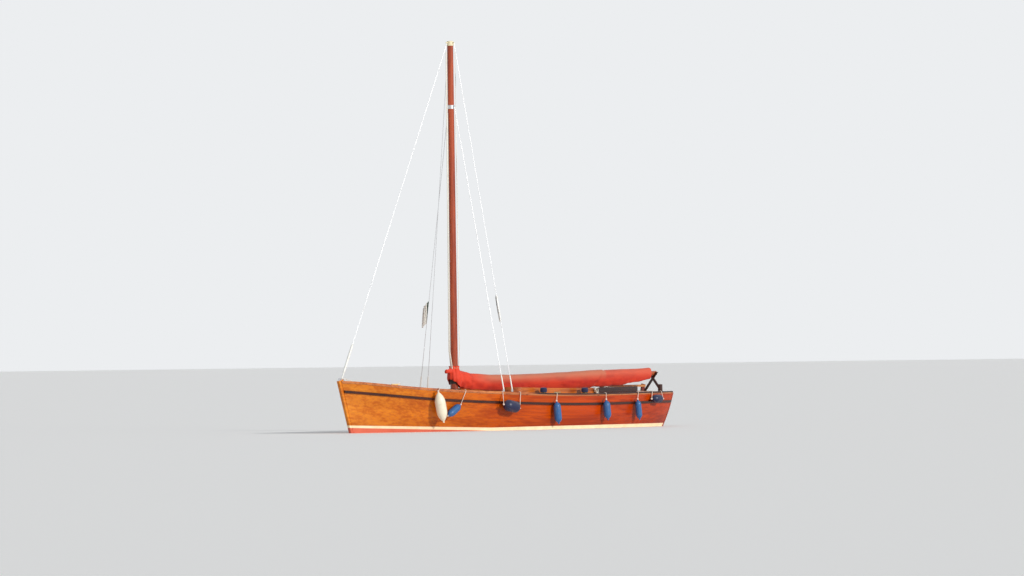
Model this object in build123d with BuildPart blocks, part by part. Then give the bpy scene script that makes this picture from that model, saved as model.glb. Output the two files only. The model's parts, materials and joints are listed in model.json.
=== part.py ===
"""A carvel-built, half-decked wooden sailing boat, lying afloat with her sail stowed on the boom.

Millimetres. +X points to the bow, +Y to port, +Z up; the origin is amidships on the waterline.
"""
from math import atan2, cos, degrees, radians, sin, sqrt, tan
import os

from build123d import *

os.makedirs("parts", exist_ok=True)

# Driving sizes of the hull
length = 8000.0
beam = 2600.0
bow_freeboard = 945.0
stern_freeboard = 655.0
deck_camber = 55.0
deck_thickness = 20.0
stem_siding = 60.0
stem_moulding = 55.0
transom_thickness = 28.0
seat_gap = 0.3

# Driving sizes of the underwater body
keel_draught = 1050.0
forefoot_draught = 520.0
keel_siding = 110.0
keel_flat = 70.0
forefoot_station = 2900.0
ballast_siding = 150.0
ballast_height = 190.0
ballast_front = 700.0
ballast_back = -2700.0
ballast_rounding = 35.0

# Driving sizes of the mouldings along the hull
strake_drop = 150.0
strake_height = 45.0
strake_projection = 28.0
rail_width = 38.0
rail_height = 30.0
rail_overhang = 8.0
rail_rebate = 12.0
stem_rise = 40.0

# Driving sizes of the cockpit
cockpit_front = 350.0
cockpit_back = -3250.0
side_deck = 320.0
sole_height = 40.0
sole_thickness = 25.0
lining_thickness = 16.0
coaming_thickness = 24.0
coaming_rise = 105.0
coaming_end_rise = 15.0
thwart_x = -2950.0
thwart_height = 560.0
thwart_width = 210.0
thwart_thickness = 36.0
track_height = 14.0
track_width = 34.0
track_length = 1300.0
track_groove = 5.0
front_corner = 260.0
back_corner = 120.0
bench_height = 330.0
bench_width = 380.0
bench_thickness = 28.0
bench_front = -550.0
bench_back = -2800.0
support_setback = 30.0

# Driving sizes of the spars and the rig
mast_x = 1040.0
mast_foot_diameter = 150.0
mast_head_diameter = 118.0
mast_top = 7370.0
cap_height = 90.0
hounds_height = 6120.0
band_wall = 6.0
partner_width = 55.0
partner_rise = 35.0
tang_length = 50.0
tang_width = 12.0
tang_thickness = 20.0
collar_height = 230.0
collar_wall = 45.0
stay_diameter = 10.0
chain_inset = 75.0
chain_rise = 70.0
turnbuckle_diameter = 26.0
turnbuckle_length = 260.0
stemhead_width = 30.0
eye_bore = 22.0
eye_wall = 15.0
post_x = 3300.0
post_width = 80.0
post_height = 210.0
post_pin = 22.0
bitt_x = -3800.0
bitt_y = 790.0
bitt_diameter = 90.0
bitt_height = 150.0
cleat_length = 160.0
cleat_width = 22.0
winch_inset = 165.0
winch_flange = 132.0
winch_crown = 116.0
winch_height = 112.0
cap_wall = 4.0
cap_hem = 30.0
boom_length = 4910.0
boom_diameter = 90.0
boom_swing = 6.0
boom_rise = 1.2
gooseneck_height = 930.0
gooseneck_reach = 130.0
gooseneck_band = 90.0
jaw_width = 60.0
jaw_wall = 8.0
jaw_radius = 22.0
boom_start = 70.0
boom_eye_radius = 20.0
pivot_diameter = 16.0
running_clearance = 0.3
sheet_along = 3670.0
hanger_length = 190.0
hanger_diameter = 12.0
block_diameter = 66.0
block_width = 46.0
block_wall = 7.0
sheet_car_y = 260.0
car_height = 24.0
car_rise = 20.0
crutch_spread = 300.0
leg_width = 46.0
leg_thickness = 22.0

# Driving sizes of the rudder and its tiller
rudder_thickness = 36.0
rudder_offset = 30.0
rudder_gap = 20.0
pintle_diameter = 16.0
rudder_chord = 430.0
tiller_height = 790.0
tiller_length = 1100.0
tiller_section = 44.0
rudder_head_rise = 45.0
eye_radius = 15.0
eye_height = 30.0
eye_lug = 22.0

# Sail cover over boom and stowed sail. Columns: distance along the boom, top above the boom's
# line, bottom below it, half width
COVER = [
    (210, 140, 125, 80),
    (710, 112, 195, 118),
    (1610, 90, 235, 130),
    (2610, 100, 238, 132),
    (3510, 118, 200, 120),
    (4210, 100, 200, 104),
    (4760, 112, 130, 78),
]

# Standing rigging. Columns: where it meets the mast, the height there, the place on deck
STAYS = [
    ("forestay", mast_top - cap_height / 2, (0.5 * length - 40, 0)),
    ("port fore shroud", hounds_height, (850, 1)),
    ("starboard fore shroud", hounds_height, (850, -1)),
    ("port aft shroud", mast_top - cap_height / 2, (640, 1)),
    ("starboard aft shroud", mast_top - cap_height / 2, (640, -1)),
]

# Driving sizes shared by the fenders
fender_neck = 26.0
neck_radius = 16.0

# Heights of the rudder's three eyes above the water
EYES = (-760, -210, 420)

# Horn cleats on the side decks. Columns: station, inset from the sheer
CLEATS = [(3000, 120), (-500, 85)]

# Stations of the sheet winches beside the coaming
WINCHES = (-230, -1370)

# Fenders over the side. Columns: station, height of the centre, length, diameter, length of
# the domed ends, tilt from upright in the plane of the side
FENDERS = [
    (2310, 465, 600, 200, 200, 13),
    (2015, 395, 400, 140, 100, -58),
    (835, 455, 430, 220, 110, 80),
    (-335, 320, 440, 140, 90, 7),
    (-1720, 350, 400, 140, 90, 7),
    (-2720, 340, 400, 120, 80, 7),
    (-3320, 540, 320, 160, 90, 90),
]


# Sections of the hull from the transom to the stem. Each is a flat floor line, a bilge arc and
# a topside arc. Columns, as shares of the length, the half beam and in mm and degrees:
# station, breadth at sheer, sheer height, station at keel, canoe body depth,
# breadth at waterline, side slope at waterline, deadrise
SECTIONS = [
    (-0.500, 0.715, 1.000 * stern_freeboard, -0.479, 110, 0.590, 68, 5),
    (-0.390, 0.850, 0.993 * stern_freeboard, -0.380, 260, 0.740, 69, 12),
    (-0.250, 0.950, 0.980 * stern_freeboard, -0.245, 395, 0.865, 71, 15),
    (-0.062, 1.000, 0.996 * stern_freeboard, -0.062, 480, 0.925, 73, 17),
    (0.125, 0.915, 0.745 * bow_freeboard, 0.122, 470, 0.790, 72, 21),
    (0.290, 0.655, 0.824 * bow_freeboard, 0.280, 415, 0.475, 68, 28),
    (0.415, 0.325, 0.932 * bow_freeboard, 0.392, 340, 0.175, 72, 40),
    (0.500, 0.030, 1.000 * bow_freeboard, 0.454, 260, 0.0285, 89.8, 89.2),
]
(STATION, SHEER_BREADTH, SHEER_HEIGHT, KEEL_STATION, BODY_DEPTH, WATER_BREADTH, SIDE_SLOPE,
 DEADRISE) = range(8)


def finish(name, part):
    """Label a finished piece and write it to its file."""
    part.label = name
    export_step(part, f"parts/{name}.step")


def table(column, x, scale=1.0):
    """The value of a column of the section table at a station x, by straight interpolation."""
    rows = [(row[STATION] * length, row[column] * scale) for row in SECTIONS]
    for (x0, v0), (x1, v1) in zip(rows, rows[1:]):
        if x <= x1:
            return v0 + (v1 - v0) * (x - x0) / (x1 - x0)
    return rows[-1][1]


def sheer_height(x):
    return table(SHEER_HEIGHT, x)


def sheer_breadth(x):
    return table(SHEER_BREADTH, x, beam / 2)


def deck_height(x, y=0.0):
    """About the top of the cambered deck at a station x and an offset y from the centreline."""
    share = min(abs(y) / sheer_breadth(x), 1)
    return sheer_height(x) + deck_camber * sheer_breadth(x) * 2 / beam * (1 - share ** 2)


def section_plane(row):
    """The plane of a section, tilted so that it meets the keel at its own station."""
    x_keel = row[KEEL_STATION] * length
    run = row[STATION] * length - x_keel
    rise = row[SHEER_HEIGHT] + row[BODY_DEPTH]
    along = Vector(run, 0, rise).normalized()
    plane = Plane(origin=(x_keel, 0, -row[BODY_DEPTH]), x_dir=(0, 1, 0),
                  z_dir=Vector(0, 1, 0).cross(along))
    return plane, sqrt(run ** 2 + rise ** 2) / rise


def sheer_point(row, stretch, extra=0.0):
    return Vector(row[SHEER_BREADTH] * beam / 2 + extra,
                  (row[SHEER_HEIGHT] + row[BODY_DEPTH]) * stretch)


def hull_body(extra=0.0):
    """The hull's outside, lofted through the sections, each pushed out sideways by extra."""
    with BuildPart() as body:
        for row in SECTIONS:
            plane, stretch = section_plane(row)
            keel = Vector(keel_flat / 2 + extra, 0)
            water = Vector(row[WATER_BREADTH] * beam / 2 + extra, row[BODY_DEPTH] * stretch)
            sheer = sheer_point(row, stretch, extra)
            crown = sheer.Y + deck_camber * row[SHEER_BREADTH]
            floor = Vector(1, tan(radians(row[DEADRISE]))).normalized()
            side = Vector(1, tan(radians(row[SIDE_SLOPE]))).normalized()
            # The knuckle where the floor line meets the tangent of the side at the waterline.
            gap = water - keel
            knuckle_run = (gap.X * side.Y - gap.Y * side.X) / (floor.X * side.Y - floor.Y * side.X)
            knuckle = keel + floor * knuckle_run
            bilge = knuckle - floor * min((water - knuckle).length, 0.92 * knuckle_run)
            with BuildSketch(plane):
                with BuildLine():
                    Line((0, 0), keel)
                    Line(keel, bilge)
                    turn = TangentArc(bilge, water, tangent=floor)
                    TangentArc(water, sheer, tangent=turn % 1)
                    TangentArc((0, crown), sheer, tangent=(1, 0))
                    mirror(about=Plane.YZ)
                make_face()
        loft()
    return body.part


def above_deck(drop, height):
    """Everything from drop below the cambered deck up to height, wider than the hull."""
    with BuildPart() as region:
        for row in SECTIONS:
            plane, stretch = section_plane(row)
            sheer = sheer_point(row, stretch)
            camber = deck_camber * row[SHEER_BREADTH]
            reach = sheer.X * 1.15 + 60
            fall = camber * (reach / sheer.X) ** 2
            with BuildSketch(plane):
                with BuildLine():
                    top = Line((0, sheer.Y + height), (reach, sheer.Y + height))
                    crown = (0, sheer.Y + camber - drop)
                    edge = (reach, sheer.Y + camber - drop - fall)
                    TangentArc(crown, edge, tangent=(1, 0))
                    Line(edge, top @ 1)
                    mirror(about=Plane.YZ)
                make_face()
        loft()
    return region.part


def sheer_band(top_drop, bottom_drop):
    """A slab right across the boat between two lines that follow the sheer in side view."""
    ends = (SECTIONS[0][STATION] * length - 200, SECTIONS[-1][STATION] * length + 200)
    stations = [(row[STATION] * length, row[SHEER_HEIGHT]) for row in SECTIONS]
    first, last = stations[0], stations[-1]
    lines = [(ends[0], first[1])] + stations[1:-1] + [(ends[1], last[1] + 25)]
    with BuildPart() as band:
        with BuildSketch(Plane.XZ):
            with BuildLine():
                upper = Spline([(x, z - top_drop) for x, z in lines])
                lower = Spline([(x, z - bottom_drop) for x, z in lines])
                Line(upper @ 0, lower @ 0)
                Line(upper @ 1, lower @ 1)
            make_face()
        extrude(amount=beam, both=True)
    return band.part


def cockpit_outline(inset=0.0):
    """The plan of the cockpit opening as a sketch, shrunk by inset."""
    with BuildSketch(mode=Mode.PRIVATE) as plan:
        with BuildLine():
            middle = (cockpit_front + cockpit_back) / 2
            corner = [(x, sheer_breadth(x) - side_deck) for x in
                      (cockpit_back, middle, cockpit_front)]
            ThreePointArc(*corner)
            Line(corner[2], (cockpit_front, 0))
            Line(corner[0], (cockpit_back, 0))
            mirror(about=Plane.XZ)
        make_face()
        by_station = plan.vertices().sort_by(Axis.X)
        fillet(by_station[-2:], front_corner)
        fillet(plan.vertices().sort_by(Axis.X)[:2], back_corner)
        if inset:
            offset(amount=-inset, mode=Mode.REPLACE)
    return plan.sketch


def bar_between(start, end, radius, from_start=0.0, to_end=0.0):
    """A round bar along the line from start to end, held off from either end."""
    start, end = Vector(*start), Vector(*end)
    along = (end - start).normalized()
    plane = Plane(origin=start + along * from_start, z_dir=along)
    with BuildPart(plane) as bar:
        with BuildSketch(plane):
            Circle(radius)
        extrude(amount=(end - start).length - from_start - to_end)
    return bar.part


# Hull, deck and transom
hull_form = hull_body()
deck_zone = above_deck(deck_thickness, 400)
well = cockpit_outline()

with BuildPart() as hull:
    add(hull_form)
    add(deck_zone, mode=Mode.SUBTRACT)
    with BuildSketch(Plane.XY.offset(sole_height - sole_thickness)):
        add(well)
    extrude(amount=2 * bow_freeboard, mode=Mode.SUBTRACT)
finish("hull", hull.part)

with BuildPart() as deck:
    add(hull_form)
    add(deck_zone, mode=Mode.INTERSECT)
    with BuildSketch():
        add(well)
    extrude(amount=2 * bow_freeboard, mode=Mode.SUBTRACT)
finish("deck", deck.part)

transom_face = hull_form.faces().sort_by(Axis.X)[0]
with BuildPart() as transom:
    extrude(transom_face, amount=transom_thickness)
finish("transom", transom.part)

# Stem, keel and ballast, drawn in side view and let up to the planking
bow_row, stern_row = SECTIONS[-1], SECTIONS[0]
stem_top = Vector(bow_row[STATION] * length, bow_row[SHEER_HEIGHT])
stem_foot = Vector(bow_row[KEEL_STATION] * length, -bow_row[BODY_DEPTH])
stern_top = Vector(stern_row[STATION] * length, stern_row[SHEER_HEIGHT])
stern_foot = Vector(stern_row[KEEL_STATION] * length, -stern_row[BODY_DEPTH])
stem_up = (stem_top - stem_foot).normalized()
stem_out = Vector(stem_up.Y, -stem_up.X)
stern_up = (stern_top - stern_foot).normalized()
stern_out = Vector(-stern_up.Y, stern_up.X)
post_line = stern_foot + stern_out * transom_thickness
heel = post_line + stern_up * ((-keel_draught - post_line.Y) / stern_up.Y)
forefoot = Vector(forefoot_station, -forefoot_draught)
keel_slope = (heel.Y - forefoot.Y) / (heel.X - forefoot.X)


def keel_bottom(x):
    return forefoot.Y + keel_slope * (x - forefoot.X)


with BuildPart() as stem:
    with BuildSketch(Plane.XZ):
        with BuildLine():
            head = stem_top + stem_up * stem_rise + stem_out * stem_moulding
            toe = stem_foot + stem_out * stem_moulding
            front = Line(head, toe)
            ThreePointArc(toe, (toe + forefoot) * 0.5 + Vector(60, -55), forefoot)
            Line(forefoot, (forefoot.X, 0))
            Line((forefoot.X, 0), stem_foot + Vector(-120, 200))
            Line(stem_foot + Vector(-120, 200), stem_top + stem_up * stem_rise - stem_out * 60)
            Line(stem_top + stem_up * stem_rise - stem_out * 60, head)
        make_face()
    extrude(amount=stem_siding / 2, both=True)
    add(hull_form, mode=Mode.SUBTRACT)
finish("stem", stem.part.solids().sort_by(lambda solid: solid.bounding_box().max.X)[-1])

with BuildPart() as keel:
    with BuildSketch(Plane.XZ):
        Polygon((forefoot.X, 0), (forefoot.X, forefoot.Y),
                (ballast_front, keel_bottom(ballast_front)),
                (ballast_front, keel_bottom(ballast_front) + ballast_height),
                (ballast_back, keel_bottom(ballast_back) + ballast_height),
                (ballast_back, keel_bottom(ballast_back)),
                tuple(heel)[:2], (post_line.X, post_line.Y),
                (stern_foot.X, 0), align=None)
    extrude(amount=keel_siding / 2, both=True)
    add(hull_form, mode=Mode.SUBTRACT)
    add(transom.part, mode=Mode.SUBTRACT)
finish("keel", keel.part.solids().sort_by(SortBy.VOLUME)[-1])

with BuildPart() as ballast:
    with BuildSketch(Plane.XZ):
        Polygon((ballast_front, keel_bottom(ballast_front)),
                (ballast_front, keel_bottom(ballast_front) + ballast_height),
                (ballast_back, keel_bottom(ballast_back) + ballast_height),
                (ballast_back, keel_bottom(ballast_back)), align=None)
    extrude(amount=ballast_siding / 2, both=True)
    long_edges = ballast.edges().filter_by(lambda edge: edge.length > 2 * ballast_siding)
    fillet(long_edges.sort_by(Axis.Z)[:2], ballast_rounding)
finish("ballast_keel", ballast.part)

# Rubbing strakes and toe rails
with BuildPart() as strakes:
    add(hull_body(strake_projection))
    add(sheer_band(strake_drop, strake_drop + strake_height), mode=Mode.INTERSECT)
    add(hull_form, mode=Mode.SUBTRACT)
    add(stem.part, mode=Mode.SUBTRACT)
finish("rubbing_strakes", strakes.part)

with BuildPart() as rails:
    for row in SECTIONS:
        plane, stretch = section_plane(row)
        sheer = sheer_point(row, stretch)
        with BuildSketch(plane):
            inner = max(sheer.X - rail_width, stem_siding / 2 + 1)
            with BuildLine():
                Polyline((inner, sheer.Y - rail_rebate),
                         (sheer.X + rail_overhang, sheer.Y - rail_rebate),
                         (sheer.X + rail_overhang, sheer.Y + rail_height),
                         (inner, sheer.Y + rail_height), close=True)
            make_face()
    loft()
    add(hull_form, mode=Mode.SUBTRACT)
    add(stem.part, mode=Mode.SUBTRACT)
    mirror(about=Plane.XZ)
finish("toe_rails", rails.part)

# Cockpit: sole, lining, coaming, benches and the thwart that carries the sheet track
sole_plane = Plane.XY.offset(sole_height)
with BuildPart() as sole:
    with BuildSketch(Plane.XY.offset(sole_height - sole_thickness)):
        add(well)
    extrude(amount=sole_thickness)
finish("cockpit_sole", sole.part)


def ring_on_sole(wall):
    """An upright ring round the cockpit, its outside on the opening, from the sole upwards."""
    with BuildPart() as ring:
        with BuildSketch(sole_plane):
            add(well)
            add(cockpit_outline(wall), mode=Mode.SUBTRACT)
        extrude(amount=2 * bow_freeboard)
    return ring.part


coaming_foot = deck_camber + deck_thickness
with BuildPart() as coaming:
    add(ring_on_sole(coaming_thickness))
    add(sheer_band(-coaming_rise - deck_camber / 2, coaming_foot - deck_camber),
        mode=Mode.INTERSECT)
    for end, corner in ((cockpit_front, front_corner), (cockpit_back, back_corner)):
        with BuildSketch(Plane.XY.offset(deck_height(end) + coaming_end_rise)):
            with Locations((end, 0)):
                Rectangle(4 * coaming_thickness, 2 * (sheer_breadth(end) - side_deck - corner))
        extrude(amount=bow_freeboard, mode=Mode.SUBTRACT)
finish("coaming", coaming.part)

with BuildPart() as lining:
    add(ring_on_sole(lining_thickness))
    add(sheer_band(coaming_foot - deck_camber, 2 * bow_freeboard), mode=Mode.INTERSECT)
finish("cockpit_lining", lining.part)

with BuildPart() as benches:
    with BuildSketch(sole_plane.offset(bench_height - bench_thickness)):
        add(cockpit_outline(lining_thickness))
        add(cockpit_outline(lining_thickness + bench_width), mode=Mode.SUBTRACT)
        with Locations(((bench_front + bench_back) / 2, 0)):
            Rectangle(bench_front - bench_back, beam, mode=Mode.INTERSECT)
    extrude(amount=bench_thickness)
finish("benches", benches.part)

with BuildPart() as bench_supports:
    for share in (0.12, 0.5, 0.88):
        x = bench_back + (bench_front - bench_back) * share
        reach = sheer_breadth(x) - side_deck - lining_thickness
        with BuildSketch(sole_plane):
            with Locations((x, reach - bench_width / 2), (x, bench_width / 2 - reach)):
                Rectangle(bench_thickness, bench_width - 2 * support_setback)
        extrude(amount=bench_height - bench_thickness)
finish("bench_supports", bench_supports.part)

with BuildPart() as thwart:
    with BuildSketch(sole_plane.offset(thwart_height - thwart_thickness)):
        add(cockpit_outline(lining_thickness))
        with Locations((thwart_x, 0)):
            Rectangle(thwart_width, beam, mode=Mode.INTERSECT)
    extrude(amount=thwart_thickness)
    fillet(thwart.faces().sort_by(Axis.Z)[-1].edges().filter_by(Axis.Y), 12)
finish("sheet_thwart", thwart.part)

track_top = sole_height + thwart_height + track_height
with BuildPart() as track:
    with BuildSketch(sole_plane.offset(thwart_height)):
        with Locations((thwart_x, 0)):
            Rectangle(track_width, track_length)
    extrude(amount=track_height)
    with BuildSketch(sole_plane.offset(thwart_height + track_height / 2)):
        with Locations((thwart_x + track_width / 2, 0), (thwart_x - track_width / 2, 0)):
            Rectangle(2 * track_groove, track_length)
    extrude(amount=track_height / 4, mode=Mode.SUBTRACT)
finish("sheet_track", track.part)

# Mast with its partner, boot ring, hounds band, cap and gooseneck
mast_foot = Vector(mast_x, 0, deck_height(mast_x) - deck_camber)


def mast_radius(z):
    share = (z - mast_foot.Z) / (mast_top - mast_foot.Z)
    return (mast_foot_diameter + (mast_head_diameter - mast_foot_diameter) * share) / 2


with BuildPart() as mast:
    with BuildSketch(Plane.XY.offset(mast_foot.Z)):
        with Locations((mast_x, 0)):
            Circle(mast_radius(mast_foot.Z))
    with BuildSketch(Plane.XY.offset(mast_top - cap_height)):
        with Locations((mast_x, 0)):
            Circle(mast_radius(mast_top - cap_height))
    loft()
    add(hull_form, mode=Mode.SUBTRACT)
finish("mast", mast.part)

with BuildPart() as cap:
    with BuildSketch(Plane.XY.offset(mast_top - cap_height)):
        with Locations((mast_x, 0)):
            Circle(mast_radius(mast_top) + band_wall)
    extrude(amount=cap_height)
    fillet(cap.faces().sort_by(Axis.Z)[-1].edges(), 25)
    with BuildSketch(Plane.XY.offset(mast_top - cap_height / 2)):
        with Locations((mast_x, 0)):
            Rectangle(mast_head_diameter + 2 * tang_length, tang_width)
            Rectangle(tang_width, mast_head_diameter + 2 * tang_length)
    extrude(amount=tang_thickness)
finish("masthead_cap", cap.part)


def mast_band(z, height, wall=band_wall):
    """A metal band round the mast."""
    with BuildPart(Plane.XY.offset(z - height / 2)) as band:
        with Locations((mast_x, 0)):
            Cylinder(mast_radius(z) + wall, height, align=(Align.CENTER, Align.CENTER, Align.MIN))
    return band.part


with BuildPart() as hounds:
    add(mast_band(hounds_height, 70))
    with BuildSketch(Plane.XY.offset(hounds_height)):
        with Locations((mast_x, 0)):
            Rectangle(tang_width, mast_head_diameter + 2 * tang_length)
    extrude(amount=tang_thickness)
    add(mast.part, mode=Mode.SUBTRACT)
finish("hounds_band", hounds.part)

with BuildPart() as partner:
    with BuildSketch(Plane.XY.offset(deck_height(mast_x) - deck_camber)):
        with Locations((mast_x, 0)):
            Circle(mast_foot_diameter / 2 + partner_width)
    extrude(amount=deck_camber + partner_rise)
    fillet(partner.faces().sort_by(Axis.Z)[-1].edges(), 12)
    add(hull_form, mode=Mode.SUBTRACT)
    add(mast.part, mode=Mode.SUBTRACT)
finish("mast_partner", partner.part)

# Boom on its gooseneck. The pivot line lies across the boom, which rests swung a little to port.
pivot = Vector(mast_x - gooseneck_reach, 0, gooseneck_height)
swing, rise = radians(boom_swing), radians(boom_rise)
boom_along = Vector(-cos(rise) * cos(swing), cos(rise) * sin(swing), sin(rise))
boom_across = Vector(sin(swing), cos(swing), 0)
boom_up = boom_along.cross(boom_across) * -1


def boom_point(along, across=0.0, up=0.0):
    return pivot + boom_along * along + boom_across * across + boom_up * up


def boom_plane(along, up=0.0):
    """A plane square to the boom, its X across and its Y up."""
    return Plane(origin=boom_point(along, 0, up), x_dir=boom_across, z_dir=boom_along)


with BuildPart() as gooseneck:
    add(mast_band(gooseneck_height, gooseneck_band))
    jaw_plane = Plane(origin=pivot, x_dir=boom_along, z_dir=boom_across)
    for side in (1, -1):
        with BuildSketch(jaw_plane.offset(side * jaw_width / 2)):
            Circle(jaw_radius)
            with Locations((-gooseneck_reach / 2, 0)):
                Rectangle(gooseneck_reach, 2 * jaw_radius)
        extrude(amount=side * jaw_wall)
    with BuildSketch(jaw_plane.offset(-jaw_width / 2 - jaw_wall)):
        Circle(pivot_diameter / 2)
    extrude(amount=jaw_width + 2 * jaw_wall)
    add(mast.part, mode=Mode.SUBTRACT)
finish("gooseneck", gooseneck.part)

boom = bar_between(pivot, boom_point(boom_length), boom_diameter / 2, boom_start)
finish("boom", boom)

with BuildPart() as boom_eye:
    eye_plane = Plane(origin=pivot, x_dir=boom_along, z_dir=boom_across)
    eye_half = jaw_width / 2 - 20 * running_clearance
    with BuildSketch(eye_plane.offset(-eye_half)):
        Circle(boom_eye_radius)
        with Locations((boom_start / 2, 0)):
            Rectangle(boom_start, 2 * boom_eye_radius)
        Circle(pivot_diameter / 2 + running_clearance, mode=Mode.SUBTRACT)
    extrude(amount=2 * eye_half)
    add(boom, mode=Mode.SUBTRACT)
finish("boom_eye", boom_eye.part)

# Sail cover over boom and stowed sail
with BuildPart() as cover:
    for along, top, bottom, half_width in COVER:
        with BuildSketch(boom_plane(along, (top - bottom) / 2)):
            Ellipse(half_width, (top + bottom) / 2)
    loft()
    add(bar_between(pivot, boom_point(boom_length + 10), boom_diameter / 2 + seat_gap),
        mode=Mode.SUBTRACT)
    hanger_top = boom_point(sheet_along, 0, -boom_diameter / 2)
    add(bar_between(hanger_top + Vector(0, 0, 20), hanger_top - Vector(0, 0, 2 * hanger_length),
                    hanger_diameter / 2 + seat_gap), mode=Mode.SUBTRACT)
finish("sail_cover", cover.part)


def sheet_block(centre, facing):
    """A two-sheave block: rounded cheeks on both sides of a sheave, its axle along facing."""
    plane = Plane(origin=centre, x_dir=(0, 0, 1), z_dir=facing)
    with BuildPart() as block:
        for offset_out in (-block_width / 2, -block_wall / 2, block_width / 2 - block_wall):
            with BuildSketch(plane.offset(offset_out)):
                SlotCenterToCenter(26, block_diameter)
            extrude(amount=block_wall)
        with BuildSketch(plane.offset(-block_width / 2)):
            Circle(block_diameter / 2 - 10)
        extrude(amount=block_width)
    return block.part


block_facing = (1, 0, 0)
upper_centre = hanger_top - Vector(0, 0, hanger_length + block_diameter / 2)
with BuildPart() as upper_block:
    add(bar_between(hanger_top + Vector(0, 0, 20), upper_centre, hanger_diameter / 2))
    add(sheet_block(upper_centre, block_facing))
    add(boom, mode=Mode.SUBTRACT)
finish("upper_sheet_block", upper_block.part)

with BuildPart() as lower_block:
    with BuildSketch(Plane.XY.offset(track_top + seat_gap)):
        with Locations((thwart_x, sheet_car_y)):
            RectangleRounded(60, 90, 12)
    extrude(amount=car_height)
    lower_centre = Vector(thwart_x, sheet_car_y, track_top + car_height + block_diameter / 2 + car_rise)
    add(sheet_block(lower_centre, block_facing))
    with BuildSketch(Plane.XY.offset(track_top + car_height)):
        with Locations((thwart_x, sheet_car_y)):
            Circle(1.5 * hanger_diameter / 2)
    extrude(amount=block_diameter / 2 + car_rise)
finish("lower_sheet_block", lower_block.part)

# The cover's collar, tied round the mast above the gooseneck
collar_foot = gooseneck_height + gooseneck_band / 2 + seat_gap
with BuildPart() as collar:
    add(mast_band(collar_foot + collar_height / 2, collar_height, collar_wall))
    add(mast.part, mode=Mode.SUBTRACT)
finish("cover_collar", collar.part)

# Crossed-leg crutch under the boom's bare end
crutch_at = (COVER[-1][0] + boom_length) / 2
crutch_cross = boom_point(crutch_at)
leg_drop = crutch_cross.Z - boom_diameter / 2 - deck_height(crutch_cross.X, 700) + 90
leg_plane = Plane(origin=(crutch_cross.X, crutch_cross.Y, crutch_cross.Z - boom_diameter / 2 - 40),
                  x_dir=(0, 1, 0), z_dir=(1, 0, 0))
leg_angle = degrees(atan2(crutch_spread, crutch_cross.Z - deck_height(crutch_cross.X)))
with BuildPart() as crutch:
    for side in (1, -1):
        with BuildSketch(leg_plane.offset(0 if side > 0 else -leg_thickness)):
            with Locations(Location((0, 0), side * leg_angle)):
                Rectangle(leg_width, 2 * leg_drop)
        extrude(amount=leg_thickness)
    clear_of_boom = bar_between(boom_point(crutch_at - 200), boom_point(crutch_at + 200),
                                boom_diameter / 2 + seat_gap)
    add(clear_of_boom, mode=Mode.SUBTRACT)
    with BuildSketch(Plane.XY.offset(crutch_cross.Z + boom_diameter / 4)):
        with Locations((crutch_cross.X, crutch_cross.Y)):
            Rectangle(4 * leg_width, 6 * crutch_spread)
    extrude(amount=4 * leg_drop, mode=Mode.SUBTRACT)
    add(hull_form, mode=Mode.SUBTRACT)
    with BuildSketch(Plane.XY.offset(-keel_draught)):
        with Locations((crutch_cross.X, crutch_cross.Y)):
            Rectangle(4 * leg_width, 6 * crutch_spread)
    extrude(amount=keel_draught, mode=Mode.SUBTRACT)
finish("boom_crutch", crutch.part)

# Standing rigging, its screws and chainplates
shroud_bars, screw_bars, chain_points = [], [], []
for title, top_height, (x, side) in STAYS:
    y = side * (sheer_breadth(x) - chain_inset)
    foot = Vector(x, y, deck_height(x, y) + chain_rise)
    across_mast = Vector(x - mast_x, y, 0).normalized()
    top = Vector(mast_x, 0, top_height) + across_mast * (mast_radius(top_height) + 25)
    chain_points.append((title, foot))
    bar = bar_between(foot, top, stay_diameter / 2, turnbuckle_length)
    screw = bar_between(foot, top, turnbuckle_diameter / 2, 0,
                        (top - foot).length - turnbuckle_length)
    for metal in (cap.part, hounds.part):
        bar -= metal
    shroud_bars.append(bar.solids().sort_by(SortBy.VOLUME)[-1])
    screw_bars.append(screw)
finish("forestay", Compound(children=shroud_bars[:1]))
finish("shrouds", Compound(children=shroud_bars[1:]))
finish("turnbuckles", Compound(children=screw_bars))

with BuildPart() as chainplates:
    for title, foot in chain_points[1:]:
        with BuildSketch(Plane.XY.offset(foot.Z - chain_rise - deck_camber)):
            with Locations((foot.X, foot.Y)):
                Rectangle(44, 10)
        extrude(amount=chain_rise + deck_camber)
    add(hull_form, mode=Mode.SUBTRACT)
    for screw in screw_bars:
        add(screw, mode=Mode.SUBTRACT)
finish("chainplates", chainplates.part)

# Stemhead plate with the forestay's screw on it and an eye for a mooring line ahead of that
foot = chain_points[0][1]
eye_centre = Vector(foot.X + 2 * eye_bore + eye_wall, foot.Z - eye_bore / 2)
plate_foot = foot.Z - 2 * chain_rise
with BuildPart() as stemhead:
    with BuildSketch(Plane.XZ):
        with BuildLine():
            edge = eye_bore / 2 + eye_wall
            plate = Polyline((eye_centre.X + edge, eye_centre.Y), (eye_centre.X + edge, plate_foot),
                             (foot.X - chain_rise, plate_foot),
                             (foot.X - chain_rise, foot.Z - 0.7 * chain_rise),
                             (foot.X - turnbuckle_diameter, foot.Z), (foot.X, foot.Z),
                             (eye_centre.X, eye_centre.Y + edge))
            RadiusArc(plate @ 1, plate @ 0, edge)
        make_face()
        with Locations((eye_centre.X, eye_centre.Y)):
            Circle(eye_bore / 2, mode=Mode.SUBTRACT)
    extrude(amount=stemhead_width / 2, both=True)
    for neighbour in (hull_form, stem.part, rails.part, screw_bars[0]):
        add(neighbour, mode=Mode.SUBTRACT)
finish("stemhead_fitting", stemhead.part.solids().sort_by(SortBy.VOLUME)[-1])

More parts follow.
